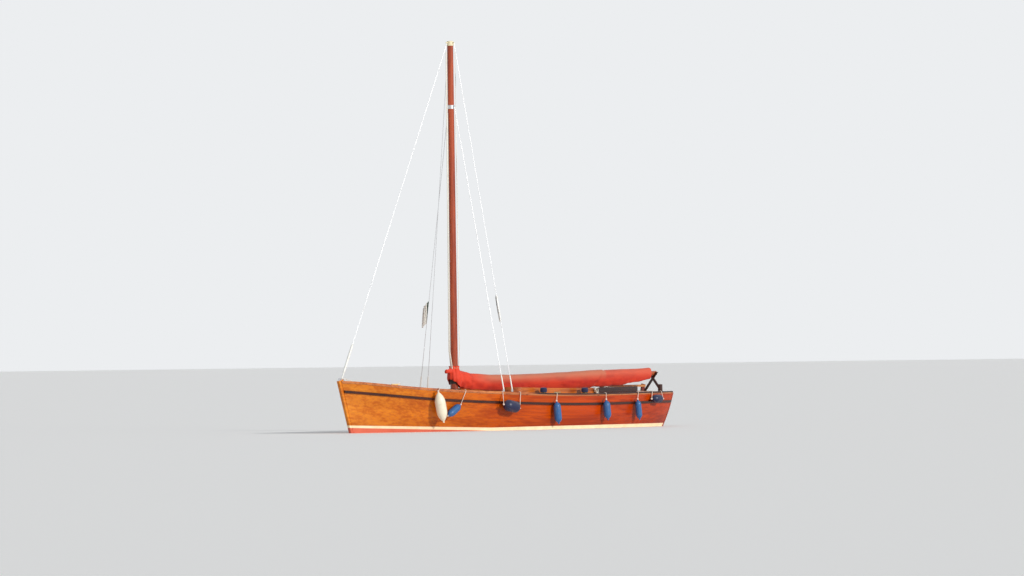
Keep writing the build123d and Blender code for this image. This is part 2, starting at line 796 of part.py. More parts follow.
# Deck fittings: the post forward, two bitts aft, cleats and winches along the side decks
with BuildPart() as post:
    with BuildSketch(Plane.XY.offset(sheer_height(post_x))):
        with Locations((post_x, 0)):
            Rectangle(post_width, post_width)
    extrude(amount=deck_camber + post_height)
    chamfer(post.faces().sort_by(Axis.Z)[-1].edges(), 12)
    with BuildSketch(Plane(origin=(post_x, 0, deck_height(post_x) + 0.62 * post_height),
                           x_dir=(1, 0, 0), z_dir=(0, 1, 0))):
        Circle(post_pin / 2)
    extrude(amount=1.6 * post_width, both=True)
    add(hull_form, mode=Mode.SUBTRACT)
finish("samson_post", post.part)

with BuildPart() as bitts:
    with BuildSketch(Plane.XY.offset(deck_height(bitt_x, bitt_y) - deck_camber)):
        with Locations((bitt_x, bitt_y), (bitt_x, -bitt_y)):
            Circle(bitt_diameter / 2)
    extrude(amount=deck_camber + bitt_height)
    fillet(bitts.faces().sort_by(Axis.Z)[-2:].edges(), bitt_diameter / 6)
    add(hull_form, mode=Mode.SUBTRACT)
finish("stern_bitts", bitts.part)

with BuildPart() as cleats:
    for x, inset in CLEATS:
        y = sheer_breadth(x) - inset
        level = deck_height(x, y)
        line_of_rail = degrees(atan2(sheer_breadth(x + 200) - sheer_breadth(x - 200), 400))
        with BuildSketch(Plane.XY.offset(level - deck_camber)):
            with Locations(Location((x, y), line_of_rail)):
                SlotCenterToCenter(cleat_length * 3 / 8, cleat_width * 1.2)
        extrude(amount=deck_camber + 1.5 * cleat_width)
        with BuildSketch(Plane.XY.offset(level + 1.5 * cleat_width)):
            with Locations(Location((x, y), line_of_rail)):
                SlotCenterToCenter(cleat_length, cleat_width)
        extrude(amount=cleat_width * 0.75)
    mirror(about=Plane.XZ)
    add(hull_form, mode=Mode.SUBTRACT)
finish("cleats", cleats.part)


def turned_on_deck(profile, x):
    """A turned piece with an upright axis on the deck at station x, inboard of the rail."""
    y = sheer_breadth(x) - winch_inset
    with BuildPart() as turned:
        with BuildSketch(Plane.XZ):
            with BuildLine():
                Polyline(*profile, close=True)
            make_face()
        revolve(axis=Axis.Z)
    return turned.part.moved(Location((x, y, deck_height(x, y))))


waist = 0.75 * winch_crown / 2
winch_profile = [(0, -deck_camber / 2), (winch_flange / 2, -deck_camber / 2),
                 (winch_flange / 2, 14), (waist, 22), (waist, winch_height - 30),
                 (winch_crown / 2, winch_height - 20), (winch_crown / 2, winch_height),
                 (0, winch_height)]
cap_inside, cap_outside = winch_crown / 2 + 3 * seat_gap, winch_crown / 2 + cap_wall
cap_top = winch_height + seat_gap
cap_profile = [(0, cap_top), (cap_inside, cap_top), (cap_inside, cap_hem), (cap_outside, cap_hem),
               (cap_outside, cap_top), (cap_outside - cap_wall, cap_top + cap_wall),
               (0, cap_top + cap_wall)]
with BuildPart() as winches:
    for x in WINCHES:
        add(turned_on_deck(winch_profile, x))
    mirror(about=Plane.XZ)
    add(hull_form, mode=Mode.SUBTRACT)
finish("winches", winches.part)

with BuildPart() as winch_covers:
    for x in WINCHES:
        add(turned_on_deck(cap_profile, x))
    mirror(about=Plane.XZ)
finish("winch_covers", winch_covers.part)

# Rudder hung on the transom, turning on a line parallel to the raked sternpost
rudder_origin = post_line + stern_out * rudder_offset
rudder_origin = rudder_origin - stern_up * (rudder_origin.Y / stern_up.Y)
rudder_plane = Plane(origin=(rudder_origin.X, 0, rudder_origin.Y),
                     x_dir=(stern_out.X, 0, stern_out.Y), z_dir=(0, 1, 0))
blade_foot = (-keel_draught + 30) / stern_up.Y
head_top = (tiller_height + rudder_head_rise) / stern_up.Y
with BuildPart() as rudder:
    with BuildSketch(rudder_plane):
        with BuildLine():
            Polyline((rudder_gap, head_top), (rudder_gap, blade_foot),
                     (rudder_chord - 90, blade_foot))
            ThreePointArc((rudder_chord - 90, blade_foot),
                          (rudder_chord, blade_foot / 2), (rudder_chord - 110, 40))
            ThreePointArc((rudder_chord - 110, 40), (210, 240), (120, 480))
            Polyline((120, 480), (100, head_top), (rudder_gap, head_top))
        make_face()
    extrude(amount=rudder_thickness / 2, both=True)
finish("rudder", rudder.part)

tiller_head = rudder_origin.X + stern_up.X / stern_up.Y * tiller_height
with BuildPart() as tiller:
    for x, wide, deep in ((tiller_head - 95, rudder_thickness + tiller_section, tiller_section),
                          (tiller_head + 40, rudder_thickness + tiller_section / 2,
                           tiller_section)):
        with BuildSketch(Plane(origin=(x, 0, tiller_height), x_dir=(0, 1, 0), z_dir=(1, 0, 0))):
            Rectangle(wide, deep)
    loft()
    for x, size in ((tiller_head + 40, tiller_section),
                    (tiller_head + tiller_length, tiller_section * 0.7)):
        with BuildSketch(Plane(origin=(x, 0, tiller_height), x_dir=(0, 1, 0), z_dir=(1, 0, 0))):
            Rectangle(size, size)
    loft()
    add(rudder.part, mode=Mode.SUBTRACT)
finish("tiller", tiller.part)

# Gudgeons on the boat, pintles on the rudder
with BuildPart() as gudgeons:
    for height in EYES:
        level = height / stern_up.Y
        across = Plane(origin=rudder_plane.from_local_coords((0, level, 0)),
                       x_dir=(stern_out.X, 0, stern_out.Y), z_dir=(stern_up.X, 0, stern_up.Y))
        with BuildSketch(across):
            Circle(eye_radius)
            with Locations((-rudder_offset, 0)):
                Rectangle(2 * rudder_offset, eye_lug)
            Circle(pintle_diameter / 2 + running_clearance, mode=Mode.SUBTRACT)
        extrude(amount=eye_height)
    add(transom.part, mode=Mode.SUBTRACT)
    add(keel.part, mode=Mode.SUBTRACT)
    add(hull_form, mode=Mode.SUBTRACT)
finish("gudgeons", gudgeons.part)

with BuildPart() as pintles:
    for height in EYES:
        level = height / stern_up.Y
        across = Plane(origin=rudder_plane.from_local_coords((0, level, 0)),
                       x_dir=(stern_out.X, 0, stern_out.Y), z_dir=(stern_up.X, 0, stern_up.Y))
        with BuildSketch(across.offset(eye_height + seat_gap)):
            Circle(eye_radius)
            with Locations((rudder_gap, 0)):
                Rectangle(2 * rudder_gap, eye_lug)
        extrude(amount=eye_lug)
        with BuildSketch(across.offset(-10)):
            Circle(pintle_diameter / 2)
        extrude(amount=eye_height + 20)
    add(rudder.part, mode=Mode.SUBTRACT)
finish("pintles", pintles.part)


# Fenders over the side
def side_at(x, z):
    """How far out the planking or the strake reaches at a station x and a height z."""
    ray = Axis((x, 0, z), (0, 1, 0))
    hits = hull_form.find_intersection_points(ray)
    if z > sheer_height(x) - strake_drop - 2 * strake_height:
        hits += strakes.part.find_intersection_points(ray)
    return max(point.Y for point, _ in hits)


def dome_radius(wide, dome):
    """The radius of the arc that closes a fender's end, from its barrel to its neck."""
    inset = wide / 2 - neck_radius
    return (inset ** 2 + dome ** 2) / (2 * inset)


def fender_offset(x, z, long, wide, dome, tilt):
    """The offset from the centreline at which a tilted fender comes to rest against the side."""
    lean = radians(tilt)
    half = long / 2 - fender_neck
    arc = dome_radius(wide, dome)

    def offset_at(spot):
        """Where the fender's centre lies if it touches at a place along it and a turn round it."""
        along, turn = max(-half, min(half, spot[0])), radians(spot[1])
        past = max(0, abs(along) - half + dome)
        radius = wide / 2 - arc + sqrt(arc ** 2 - past ** 2)
        across = radius * sin(turn)
        return (side_at(x + along * sin(lean) + across * cos(lean),
                        z + along * cos(lean) - across * sin(lean)) + radius * cos(turn))

    step, turns = half / 10, range(-75, 76, 15)
    starts = [max(((step * place, turn) for place in range(-10, 11)), key=offset_at)
              for turn in turns]
    reached = [offset_at(spot) for spot in starts]
    best = max(reached)
    for spot, offset_there in zip(starts, reached):
        if offset_there > best - 12:
            for level in range(6):
                near = [(spot[0] + i * step / 2 ** level, spot[1] + j * 15 / 2 ** level)
                        for i in (-1, 0, 1) for j in (-1, 0, 1)]
                spot = max(near, key=offset_at)
            best = max(best, offset_at(spot))
    return best + 2 * seat_gap


def fender_body(long, wide, dome):
    """An upright fender: a barrel closed by a long dome and a neck at either end."""
    half = long / 2 - fender_neck
    with BuildPart() as fender:
        with BuildSketch(Plane.XZ):
            with BuildLine():
                below = Polyline((0, 0), (0, -long / 2), (neck_radius, -long / 2),
                                 (neck_radius, -half))
                side = Line((wide / 2, dome - half), (wide / 2, 0))
                RadiusArc(below @ 1, side @ 0, -dome_radius(wide, dome))
                mirror(about=Plane.XZ)
            make_face()
        revolve(axis=Axis.Z)
    return fender.part


with BuildPart() as fenders:
    for x, z, long, wide, dome, tilt in FENDERS:
        leaning = fender_body(long, wide, dome).rotate(Axis.Y, tilt)
        add(leaning.moved(Location((x, fender_offset(x, z, long, wide, dome, tilt), z))))
    mirror(about=Plane.XZ)
finish("fenders", fenders.part)
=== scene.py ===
import json
import math

import bmesh
import bpy
import numpy as np
from mathutils import Matrix, Vector, noise
from mathutils.bvhtree import BVHTree


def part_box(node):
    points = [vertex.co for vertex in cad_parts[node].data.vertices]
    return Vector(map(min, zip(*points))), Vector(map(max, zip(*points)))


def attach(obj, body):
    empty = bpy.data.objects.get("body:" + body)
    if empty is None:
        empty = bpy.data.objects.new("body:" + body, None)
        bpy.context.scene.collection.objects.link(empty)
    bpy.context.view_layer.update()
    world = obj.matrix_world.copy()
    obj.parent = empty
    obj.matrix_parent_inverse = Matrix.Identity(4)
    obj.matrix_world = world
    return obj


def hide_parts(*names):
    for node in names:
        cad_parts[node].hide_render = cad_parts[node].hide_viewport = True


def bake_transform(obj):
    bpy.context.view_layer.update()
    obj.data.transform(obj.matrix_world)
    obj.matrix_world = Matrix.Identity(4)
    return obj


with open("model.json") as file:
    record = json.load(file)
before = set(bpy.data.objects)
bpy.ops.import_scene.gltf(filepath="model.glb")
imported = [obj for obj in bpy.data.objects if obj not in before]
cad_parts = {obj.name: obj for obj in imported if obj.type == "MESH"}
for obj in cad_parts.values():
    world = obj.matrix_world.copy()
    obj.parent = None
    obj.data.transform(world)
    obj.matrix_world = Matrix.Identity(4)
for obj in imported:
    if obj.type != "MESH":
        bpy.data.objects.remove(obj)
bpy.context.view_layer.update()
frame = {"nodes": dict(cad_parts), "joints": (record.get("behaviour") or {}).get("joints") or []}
nodes = frame["nodes"]

# Camera: low over the water on the port bow, a long way off with a long lens, so that the boat
# shows almost in plain side view. The small roll is the photograph's.
distance, eye_level, bearing = 100.0, 1.255, math.radians(45)
camera_data = bpy.data.cameras.new("camera")
camera_data.lens = 184.6
camera_data.sensor_width = 36
camera_data.clip_start, camera_data.clip_end = 1, 9000
camera = bpy.data.objects.new("camera", camera_data)
bpy.context.scene.collection.objects.link(camera)
bpy.context.scene.camera = camera
ahead = Vector((-math.sin(bearing), -math.cos(bearing), 0))
rightwards = Vector((-math.cos(bearing), math.sin(bearing), 0))
yaw, pitch, roll = math.radians(0.218), math.radians(0.824), math.atan(0.0127)
ahead = ahead * math.cos(yaw) + rightwards * math.sin(yaw)
ahead = ahead * math.cos(pitch) + Vector((0, 0, math.sin(pitch)))
rightwards = ahead.cross(Vector((0, 0, 1))).normalized()
upwards = rightwards.cross(ahead)
tilted_right = rightwards * math.cos(roll) - upwards * math.sin(roll)
tilted_up = upwards * math.cos(roll) + rightwards * math.sin(roll)
turned = Matrix((tilted_right, tilted_up, -ahead)).transposed().to_4x4()
place = Vector((math.sin(bearing), math.cos(bearing), 0)) * distance + Vector((0, 0, eye_level))
camera.matrix_world = Matrix.Translation(place) @ turned


class Signal:
    """A number on a shader socket that plain arithmetic can be written with."""

    def __init__(self, paint, socket):
        self.paint, self.socket = paint, socket

    def _by(self, operation, *terms):
        return self.paint.node("Math", {"operation": operation}, dict(enumerate(terms)))

    def __add__(self, other):
        return self._by("ADD", self, other)

    def __sub__(self, other):
        return self._by("SUBTRACT", self, other)

    def __rsub__(self, other):
        return self._by("SUBTRACT", other, self)

    def __mul__(self, other):
        return self._by("MULTIPLY", self, other)

    def __truediv__(self, other):
        return self._by("DIVIDE", self, other)

    __radd__, __rmul__ = __add__, __mul__

    def step(self, low, high):
        """0 below low, 1 above high and smooth between them."""
        return self.paint.node("MapRange", {"interpolation_type": "SMOOTHSTEP"},
                               {0: self, 1: low, 2: high})

    def made(self, operation, other=0.0):
        return self._by(operation, self, other)


class Paint:
    """A material being mixed: node() adds any shader node and returns one of its outputs."""

    def __init__(self, name):
        self.material = bpy.data.materials.new(name)
        self.material.use_nodes = True
        self.tree = self.material.node_tree
        self.shader = self.tree.nodes["Principled BSDF"]

    def node(self, kind, settings=None, inputs=None, output=0):
        made = self.tree.nodes.new("ShaderNode" + kind)
        for key, value in (settings or {}).items():
            if key == "stops":
                ramp = made.color_ramp
                while len(ramp.elements) < len(value):
                    ramp.elements.new(0.5)
                for element, (spot, tint) in zip(ramp.elements, value):
                    element.position, element.color = spot, (*tint, 1)
            elif key == "ramp":
                made.color_ramp.interpolation = value
            else:
                setattr(made, key, value)
        for key, value in (inputs or {}).items():
            self.feed(made.inputs[key], value)
        return Signal(self, made.outputs[output])

    def feed(self, socket, value):
        if isinstance(value, Signal):
            self.tree.links.new(value.socket, socket)
        elif hasattr(value, "__len__") and len(value) == 3 and socket.type == "RGBA":
            socket.default_value = (*value, 1)
        else:
            socket.default_value = value

    def place(self):
        """Object coordinates, as a vector."""
        return self.node("TexCoord", output="Object")

    def axes(self, vector):
        """A vector's three numbers."""
        return [self.node("SeparateXYZ", inputs={0: vector}, output=i) for i in range(3)]

    def stretched(self, vector, scale, turn=(0, 0, 0)):
        return self.node("Mapping", inputs={0: vector, "Rotation": turn, "Scale": scale})

    def noise(self, vector, scale, detail=3.0, rough=0.55):
        return self.node("TexNoise", inputs={"Vector": vector, "Scale": scale, "Detail": detail,
                                             "Roughness": rough})

    def mix(self, a, b, share, how="MIX"):
        return self.node("Mix", {"data_type": "RGBA", "blend_type": how},
                         {0: share, 6: a, 7: b}, output=2)

    def ramp(self, value, stops, how="LINEAR"):
        return self.node("ValToRGB", {"stops": stops, "ramp": how}, {0: value})

    def bump(self, height, strength, depth):
        normal = self.node("Bump", inputs={"Height": height, "Strength": strength,
                                           "Distance": depth})
        self.feed(self.shader.inputs["Normal"], normal)

    def finish(self, colour, **sockets):
        self.feed(self.shader.inputs["Base Color"], colour)
        for name, value in sockets.items():
            self.feed(self.shader.inputs[name.replace("_", " ")], value)
        return self.material


def tint(red, green, blue):
    """A colour given as 0 to 255 on screen, as the shader's own numbers."""
    return tuple(c / 12.92 if c <= 0.04045 else ((c + 0.055) / 1.055) ** 2.4
                 for c in (red / 255, green / 255, blue / 255))


# Floor and light of the studio: the floor is the water's level, the boat goes through it.
# The low sun stands square to the port side, the rest of the light comes evenly from the sky.
floor_mesh = bmesh.new()
bmesh.ops.create_circle(floor_mesh, cap_ends=True, segments=96, radius=4000)
floor_data = bpy.data.meshes.new("floor")
floor_mesh.to_mesh(floor_data)
floor_mesh.free()
floor = bpy.data.objects.new("floor", floor_data)
bpy.context.scene.collection.objects.link(floor)
pale = Paint("pale_floor")
floor_data.materials.append(pale.finish(tint(250, 250, 250), Roughness=0.7))

world = bpy.data.worlds.new("studio")
bpy.context.scene.world = world
world.use_nodes = True
world_nodes, link = world.node_tree.nodes, world.node_tree.links.new
sky = world_nodes["Background"]
sky.inputs["Color"].default_value = (0.92, 0.96, 1.0, 1)
sky.inputs["Strength"].default_value = 0.41
shown = world_nodes.new("ShaderNodeBackground")
shown.inputs["Color"].default_value = (*tint(236, 238, 240), 1)
rays = world_nodes.new("ShaderNodeLightPath")
either = world_nodes.new("ShaderNodeMixShader")
seen = rays.outputs["Is Camera Ray"]
for kind in ("Is Glossy Ray", "Is Transmission Ray"):
    both = world_nodes.new("ShaderNodeMath")
    both.operation = "MAXIMUM"
    link(seen, both.inputs[0])
    link(rays.outputs[kind], both.inputs[1])
    seen = both.outputs[0]
link(seen, either.inputs[0])
link(sky.outputs[0], either.inputs[1])
link(shown.outputs[0], either.inputs[2])
link(either.outputs[0], world_nodes["World Output"].inputs[0])
sun_data = bpy.data.lights.new("sun", "SUN")
sun_data.energy = 2.45
sun_data.angle = math.radians(3)
sun_data.color = (1.0, 0.97, 0.92)
sun = bpy.data.objects.new("sun", sun_data)
bpy.context.scene.collection.objects.link(sun)
sun.rotation_mode = "QUATERNION"
sun.rotation_quaternion = Vector((0.0, 0.93, 0.37)).to_track_quat("Z", "Y")
bpy.context.scene.view_settings.view_transform = "Standard"


def dress(node, material):
    """Gives a node of the model its material."""
    mesh = nodes[node].data
    mesh.materials.clear()
    mesh.materials.append(material)


# Hull planking: smooth carvel planks of mahogany under gloss varnish, redder towards the stern and
# amber towards the bow, a change that is partly the wood's own tone and partly painted light on
# the sun-lit bow.
# A cream boot stripe runs along the waterline and rises towards the bow, with brick-red bottom
# paint below it. The plank lines follow the sheer.
stern, bow = -4.0, 4.0
plank_width, lowest_sheer, sheer_curve = 0.112, -1.9, 0.0087
stripe_width, stripe_taper = 0.064, 0.005
stripe_rises_from, stripe_slope, soft_edge = 1.1, 0.037, 0.003
darker_below = 0.34


def wood_grain(paint, vector, along=2.2, across=38):
    """Long streaks of grain: 0 to 1, stretched along the first axis of the piece."""
    long_way = paint.stretched(vector, (along, across, across))
    streaks = paint.noise(long_way, 1.0, 5.0, 0.6)
    figure = paint.noise(long_way, 0.23, 2.0, 0.5)
    return (streaks * 0.6 + figure * 0.4).step(0.36, 0.64)


def topside_paint(name, with_planks=True):
    paint = Paint(name)
    vector = paint.place()
    x, _, z = paint.axes(vector)
    # From red at the stern to bright amber at the bow: partly the wood's tone, partly painted
    # light, the sun-lit bow painted brighter
    forward = paint.node("MapRange", inputs={0: x, 1: stern, 2: bow})
    light = paint.ramp(forward, [(0.0, tint(200, 66, 6)), (0.35, tint(206, 74, 4)),
                                 (0.62, tint(214, 94, 10)), (0.86, tint(232, 138, 36)),
                                 (1.0, tint(238, 150, 46))])
    deep = paint.ramp(forward, [(0.0, tint(142, 38, 3)), (0.35, tint(148, 42, 3)),
                                (0.62, tint(162, 56, 5)), (0.86, tint(182, 84, 14)),
                                (1.0, tint(190, 94, 18))])
    grain = wood_grain(paint, vector, 0.7, 26)
    figure = paint.noise(paint.stretched(vector, (0.4, 5.0, 5.0)), 1.0, 3.0)
    colour = paint.mix(deep, light, grain * 0.75 + figure * 0.35)
    if with_planks:
        from_lowest = x - lowest_sheer
        row = (z - from_lowest * from_lowest * sheer_curve) / plank_width
        seam = (row.made("FRACT") - 0.5).made("ABSOLUTE").step(0.482, 0.5)
        tone = paint.node("TexWhiteNoise", {"noise_dimensions": "1D"}, {"W": row.made("FLOOR")})
        colour = paint.mix(colour, paint.mix(colour, (0.74, 0.60, 0.50), 1.0, "MULTIPLY"),
                           tone * 0.4)
        colour = paint.mix(colour, tint(84, 28, 10), seam * 0.3)
    # The planking is painted darker towards the water
    near_water = (darker_below - z).step(0.0, 0.30)
    colour = paint.mix(colour, paint.mix(colour, (0.62, 0.56, 0.52), 1.0, "MULTIPLY"),
                       near_water * 0.6)
    # The stripe narrows from amidships forward and rises from abreast the mast
    low = ((x - stripe_rises_from) * stripe_slope).made("MAXIMUM", 0.0)
    wide = stripe_width - x.made("MAXIMUM", 0.0) * stripe_taper
    above_bottom = (z - low).step(-soft_edge, soft_edge)
    stripe = above_bottom * (1 - (z - low - wide).step(-soft_edge, soft_edge))
    bottom = 1 - above_bottom
    wear = paint.noise(vector, 7.0, 4.0)
    colour = paint.mix(colour, paint.mix(tint(255, 242, 210), tint(232, 204, 158), wear), stripe)
    red = paint.mix(tint(224, 122, 96), tint(194, 82, 64), paint.noise(vector, 3.0, 6.0))
    slime = (0.02 - z).step(0.0, 0.35) * wear
    colour = paint.mix(colour, paint.mix(red, tint(120, 62, 48), slime * 0.5), bottom)
    gloss = bottom * 0.4 + stripe * 0.2 + (1 - grain) * 0.06 + 0.26
    paint.bump(grain * 0.3 + wear * bottom * 2.0 - (seam * 0.8 if with_planks else 0.0), 0.25,
               0.002)
    return paint.finish(colour, Roughness=gloss, Coat_Weight=(1 - bottom) * (1 - stripe) * 0.16,
                        Coat_Roughness=0.15, Specular_IOR_Level=0.2)


dress("hull", topside_paint("varnished_planking"))
dress("stem", topside_paint("varnished_stem", with_planks=False))


# Varnished timber: the transom's wide boards, strakes, crutch, stern bitts, spars, tiller and
# rudder, each of one tone, and the coaming. The grain runs along the axis each is sawn along.
def varnish(name, light, dark, turn=(0, 0, 0), gloss=0.24):
    paint = Paint(name)
    vector = paint.place()
    grain = wood_grain(paint, paint.stretched(vector, (1, 1, 1), turn))
    patches = paint.noise(vector, 2.3, 2.0)
    colour = paint.mix(paint.mix(dark, light, grain), dark, patches * 0.25)
    paint.bump(grain, 0.2, 0.0012)
    return paint.finish(colour, Roughness=grain * -0.06 + gloss + patches * 0.08,
                        Coat_Weight=0.25, Coat_Roughness=0.12, Specular_IOR_Level=0.35)


upright = (0, math.radians(90), 0)
athwart = (0, 0, math.radians(90))
dress("transom", varnish("transom_boards", tint(172, 62, 24), tint(120, 34, 14), athwart))
# On the rubbing strakes this dark varnish is painted shade: they are of the hull's wood, painted
# dark for the shadow line under the moulding
dark_timber_and_strake_shade = varnish("dark_varnish", tint(78, 32, 18), tint(42, 18, 12), gloss=0.36)
for node in ("rubbing_strakes", "boom_crutch", "stern_bitts"):
    dress(node, dark_timber_and_strake_shade)
# The coaming is amber forward; beside the after part of the cockpit it is painted nearly black, as
# painted shade for the shadow under the sail cover
coaming = Paint("coaming_varnish")
cover_shade_abaft = -1.72
vector = coaming.place()
grain = wood_grain(coaming, vector)
painted_cover_shade = (cover_shade_abaft - coaming.axes(vector)[0]).step(0.0, 0.15)
coaming.bump(grain, 0.2, 0.0012)
dress("coaming", coaming.finish(
    coaming.mix(coaming.mix(tint(140, 64, 20), tint(206, 112, 38), grain),
                coaming.mix(tint(30, 13, 10), tint(62, 26, 18), grain), painted_cover_shade),
    Roughness=grain * -0.06 + 0.32, Coat_Weight=0.2))
dress("rudder", varnish("rudder_varnish", tint(132, 40, 24), tint(84, 24, 18), upright))
dress("tiller", varnish("tiller_varnish", tint(214, 150, 88), tint(160, 92, 48)))
dress("mast", varnish("mast_varnish", tint(184, 82, 46), tint(132, 50, 28), upright, 0.3))
dress("boom", varnish("boom_varnish", tint(184, 96, 54), tint(132, 60, 34)))

# Toe rails: amber varnish forward. Abaft the mast they are dark above, with an amber line left
# along their foot, whose height there is a cubic fitted to the rails' own mesh.
rail_dark_abaft, foot_line = 0.35, 0.010
rail_mesh = nodes["toe_rails"].data
rail_tree = BVHTree.FromPolygons([v.co for v in rail_mesh.vertices],
                                 [tuple(p.vertices) for p in rail_mesh.polygons])


def rail_meets(station, levels):
    """The first of some levels at which the port rail has an outer face, and that face's point."""
    for level in levels:
        hit = rail_tree.ray_cast(Vector((station, 3, level)), Vector((0, -1, 0)))[0]
        if hit:
            return hit


rail_stations = [-3.9 + 0.4 * i for i in range(12)]
rail_feet = [rail_meets(station, [0.55 + 0.002 * i for i in range(260)]).z
             for station in rail_stations]
cubic, square, slope_of_foot, foot_amidships = np.polyfit(rail_stations, rail_feet, 3)
rail = Paint("rail_varnish")
vector = rail.place()
x, _, z = rail.axes(vector)
grain = wood_grain(rail, vector)
amber = rail.mix(tint(156, 74, 30), tint(212, 130, 70), grain)
dark_rail_top = rail.mix(tint(36, 16, 12), tint(66, 28, 18), grain)
foot = ((x * cubic + square) * x + slope_of_foot) * x + foot_amidships
upper = (z - foot).step(foot_line, 0.015)
abaft_mast = (rail_dark_abaft - x).step(0.0, 0.3)
rail.bump(grain, 0.2, 0.0012)
dress("toe_rails", rail.finish(rail.mix(amber, dark_rail_top, upper * abaft_mast),
                               Roughness=grain * -0.06 + 0.36, Coat_Weight=0.15))


# Deck and cockpit timber: planks with dark caulked seams, laid fore and aft, narrow on deck, sole
# and benches and wide on the sheet thwart. The lining's boards lie one above the other.
def laid_planks(name, light, dark, pitch, seam_share, across_axis=1, gloss=0.42):
    paint = Paint(name)
    vector = paint.place()
    grain = wood_grain(paint, vector, 2.0, 42)
    row = paint.axes(vector)[across_axis] / pitch
    edge = (row.made("FRACT") - 0.5).made("ABSOLUTE").step(0.5 - seam_share,
                                                           0.5 - 0.4 * seam_share)
    tone = paint.node("TexWhiteNoise", {"noise_dimensions": "1D"}, {"W": row.made("FLOOR")})
    colour = paint.mix(paint.mix(dark, light, grain * 0.7 + tone * 0.3), tint(34, 24, 20),
                       edge * 0.9)
    paint.bump(grain * 0.3 - edge, 0.3, 0.0015)
    return paint.finish(colour, Roughness=grain * -0.08 + gloss + edge * 0.2, Coat_Weight=0.15)


dress("deck", laid_planks("laid_deck", tint(206, 148, 92), tint(150, 92, 50), 0.055, 0.05))
sole_boards = laid_planks("sole_boards", tint(196, 138, 84), tint(140, 86, 46), 0.085, 0.04)
for node in ("cockpit_sole", "benches", "bench_supports"):
    dress(node, sole_boards)
dress("sheet_thwart", laid_planks("thwart_board", tint(204, 142, 84), tint(146, 88, 44), 0.4,
                                  0.01))
dress("cockpit_lining", laid_planks("lining_boards", tint(190, 124, 72), tint(132, 76, 40), 0.075,
                                    0.05, across_axis=2))

# Bottom: the long keel and its iron ballast under the same brick-red paint as the planking,
# dulled and patchy where weed has been scrubbed off.
bottom_paint = Paint("bottom_paint")
vector = bottom_paint.place()
patch = bottom_paint.noise(vector, 3.0, 6.0)
dress("keel", bottom_paint.finish(
    bottom_paint.mix(bottom_paint.mix(tint(200, 84, 62), tint(168, 56, 44), patch),
                     tint(120, 62, 48), bottom_paint.noise(vector, 1.1, 2.0).step(0.5, 0.8) * 0.5),
    Roughness=patch * 0.2 + 0.55))
bottom_paint.bump(patch, 0.4, 0.002)
dress("ballast_keel", bottom_paint.material)


# Metal and paint of the fittings: satin stainless steel, weathered bronze, white sleeves on the
# rigging screws, cream paint on the masthead and dark block shells. The gooseneck has a near-black
# coat and the partner, where the mast goes through the deck, is dark varnished wood; both dark
# colours are painted shade for the shaded foot of the mast.
def plain_metal(name, colour, worn, roughness):
    paint = Paint(name)
    vector = paint.place()
    spots = paint.noise(vector, 60.0, 4.0)
    stains = paint.noise(vector, 9.0, 3.0).step(0.45, 0.75)
    paint.bump(spots, 0.15, 0.0006)
    return paint.finish(paint.mix(colour, worn, stains * 0.6), Metallic=1 - stains * 0.25,
                        Roughness=spots * 0.15 + roughness)


def plain_coat(name, colour, worn, roughness):
    paint = Paint(name)
    vector = paint.place()
    scuffs = paint.noise(vector, 24.0, 5.0)
    paint.bump(scuffs, 0.2, 0.0006)
    return paint.finish(paint.mix(colour, worn, scuffs.step(0.5, 0.75) * 0.6),
                        Roughness=scuffs * 0.2 + roughness)


steel = plain_metal("satin_steel", (0.66, 0.67, 0.69), (0.42, 0.39, 0.36), 0.28)
bronze = plain_metal("weathered_bronze", (0.50, 0.34, 0.16), (0.22, 0.20, 0.13), 0.38)
white_sleeve = plain_coat("white_sleeve", tint(240, 240, 236), tint(196, 190, 178), 0.35)
wire = plain_metal("stay_wire", (0.74, 0.75, 0.77), (0.48, 0.46, 0.44), 0.35)
for node in ("hounds_band", "boom_eye", "chainplates", "stemhead_fitting"):
    dress(node, steel)
for node in ("gudgeons", "pintles", "sheet_track", "cleats", "winches"):
    dress(node, bronze)
# Painted shade: the gooseneck's near-black coat and the partner's dark varnish stand for the shade
# at the mast's foot
dress("gooseneck", plain_coat("gooseneck_painted_shade", tint(36, 30, 28), tint(70, 46, 34), 0.5))
dress("mast_partner", varnish("partner_painted_shade", tint(52, 24, 16), tint(28, 14, 10), gloss=0.4))
dress("turnbuckles", white_sleeve)
dress("forestay", wire)
dress("shrouds", wire)
dress("masthead_cap", plain_coat("masthead_cream", tint(238, 226, 190), tint(190, 170, 130), 0.45))
for node in ("upper_sheet_block", "lower_sheet_block"):
    dress(node, plain_coat("block_" + node, tint(66, 34, 22), tint(40, 22, 16), 0.35))

# Fenders: blown vinyl with a bright gloss, scuffed where they rub. One is white, two are navy
# and the rest blue. Columns: station, height of the centre, length, lean from upright
FENDERS = [(2.310, 0.465, 0.600, 13), (2.015, 0.395, 0.400, -58), (0.835, 0.455, 0.430, 80),
           (-0.335, 0.320, 0.440, 7), (-1.720, 0.350, 0.400, 7), (-2.720, 0.340, 0.400, 7),
           (-3.320, 0.540, 0.320, 90)]
neck_reach = 0.03


def fender_end(row, end):
    """The middle of a port fender's upper (1) or lower (-1) neck, read from the model."""
    station, height, long, lean = row
    lean = math.radians(lean)
    x = station + end * math.sin(lean) * long / 2
    z = height + end * math.cos(lean) * long / 2
    near = [v.co.y for v in nodes["fenders"].data.vertices
            if v.co.y > 0 and math.hypot(v.co.x - x, v.co.z - z) < neck_reach]
    return Vector((x, (min(near) + max(near)) / 2, z))


vinyl = Paint("fender_vinyl")
vector = vinyl.place()
x, y, z = vinyl.axes(vector)
station = vinyl.node("MapRange", inputs={0: x, 1: stern, 2: bow})
blue, dark_blue, white = tint(36, 92, 150), tint(16, 24, 64), tint(240, 232, 208)
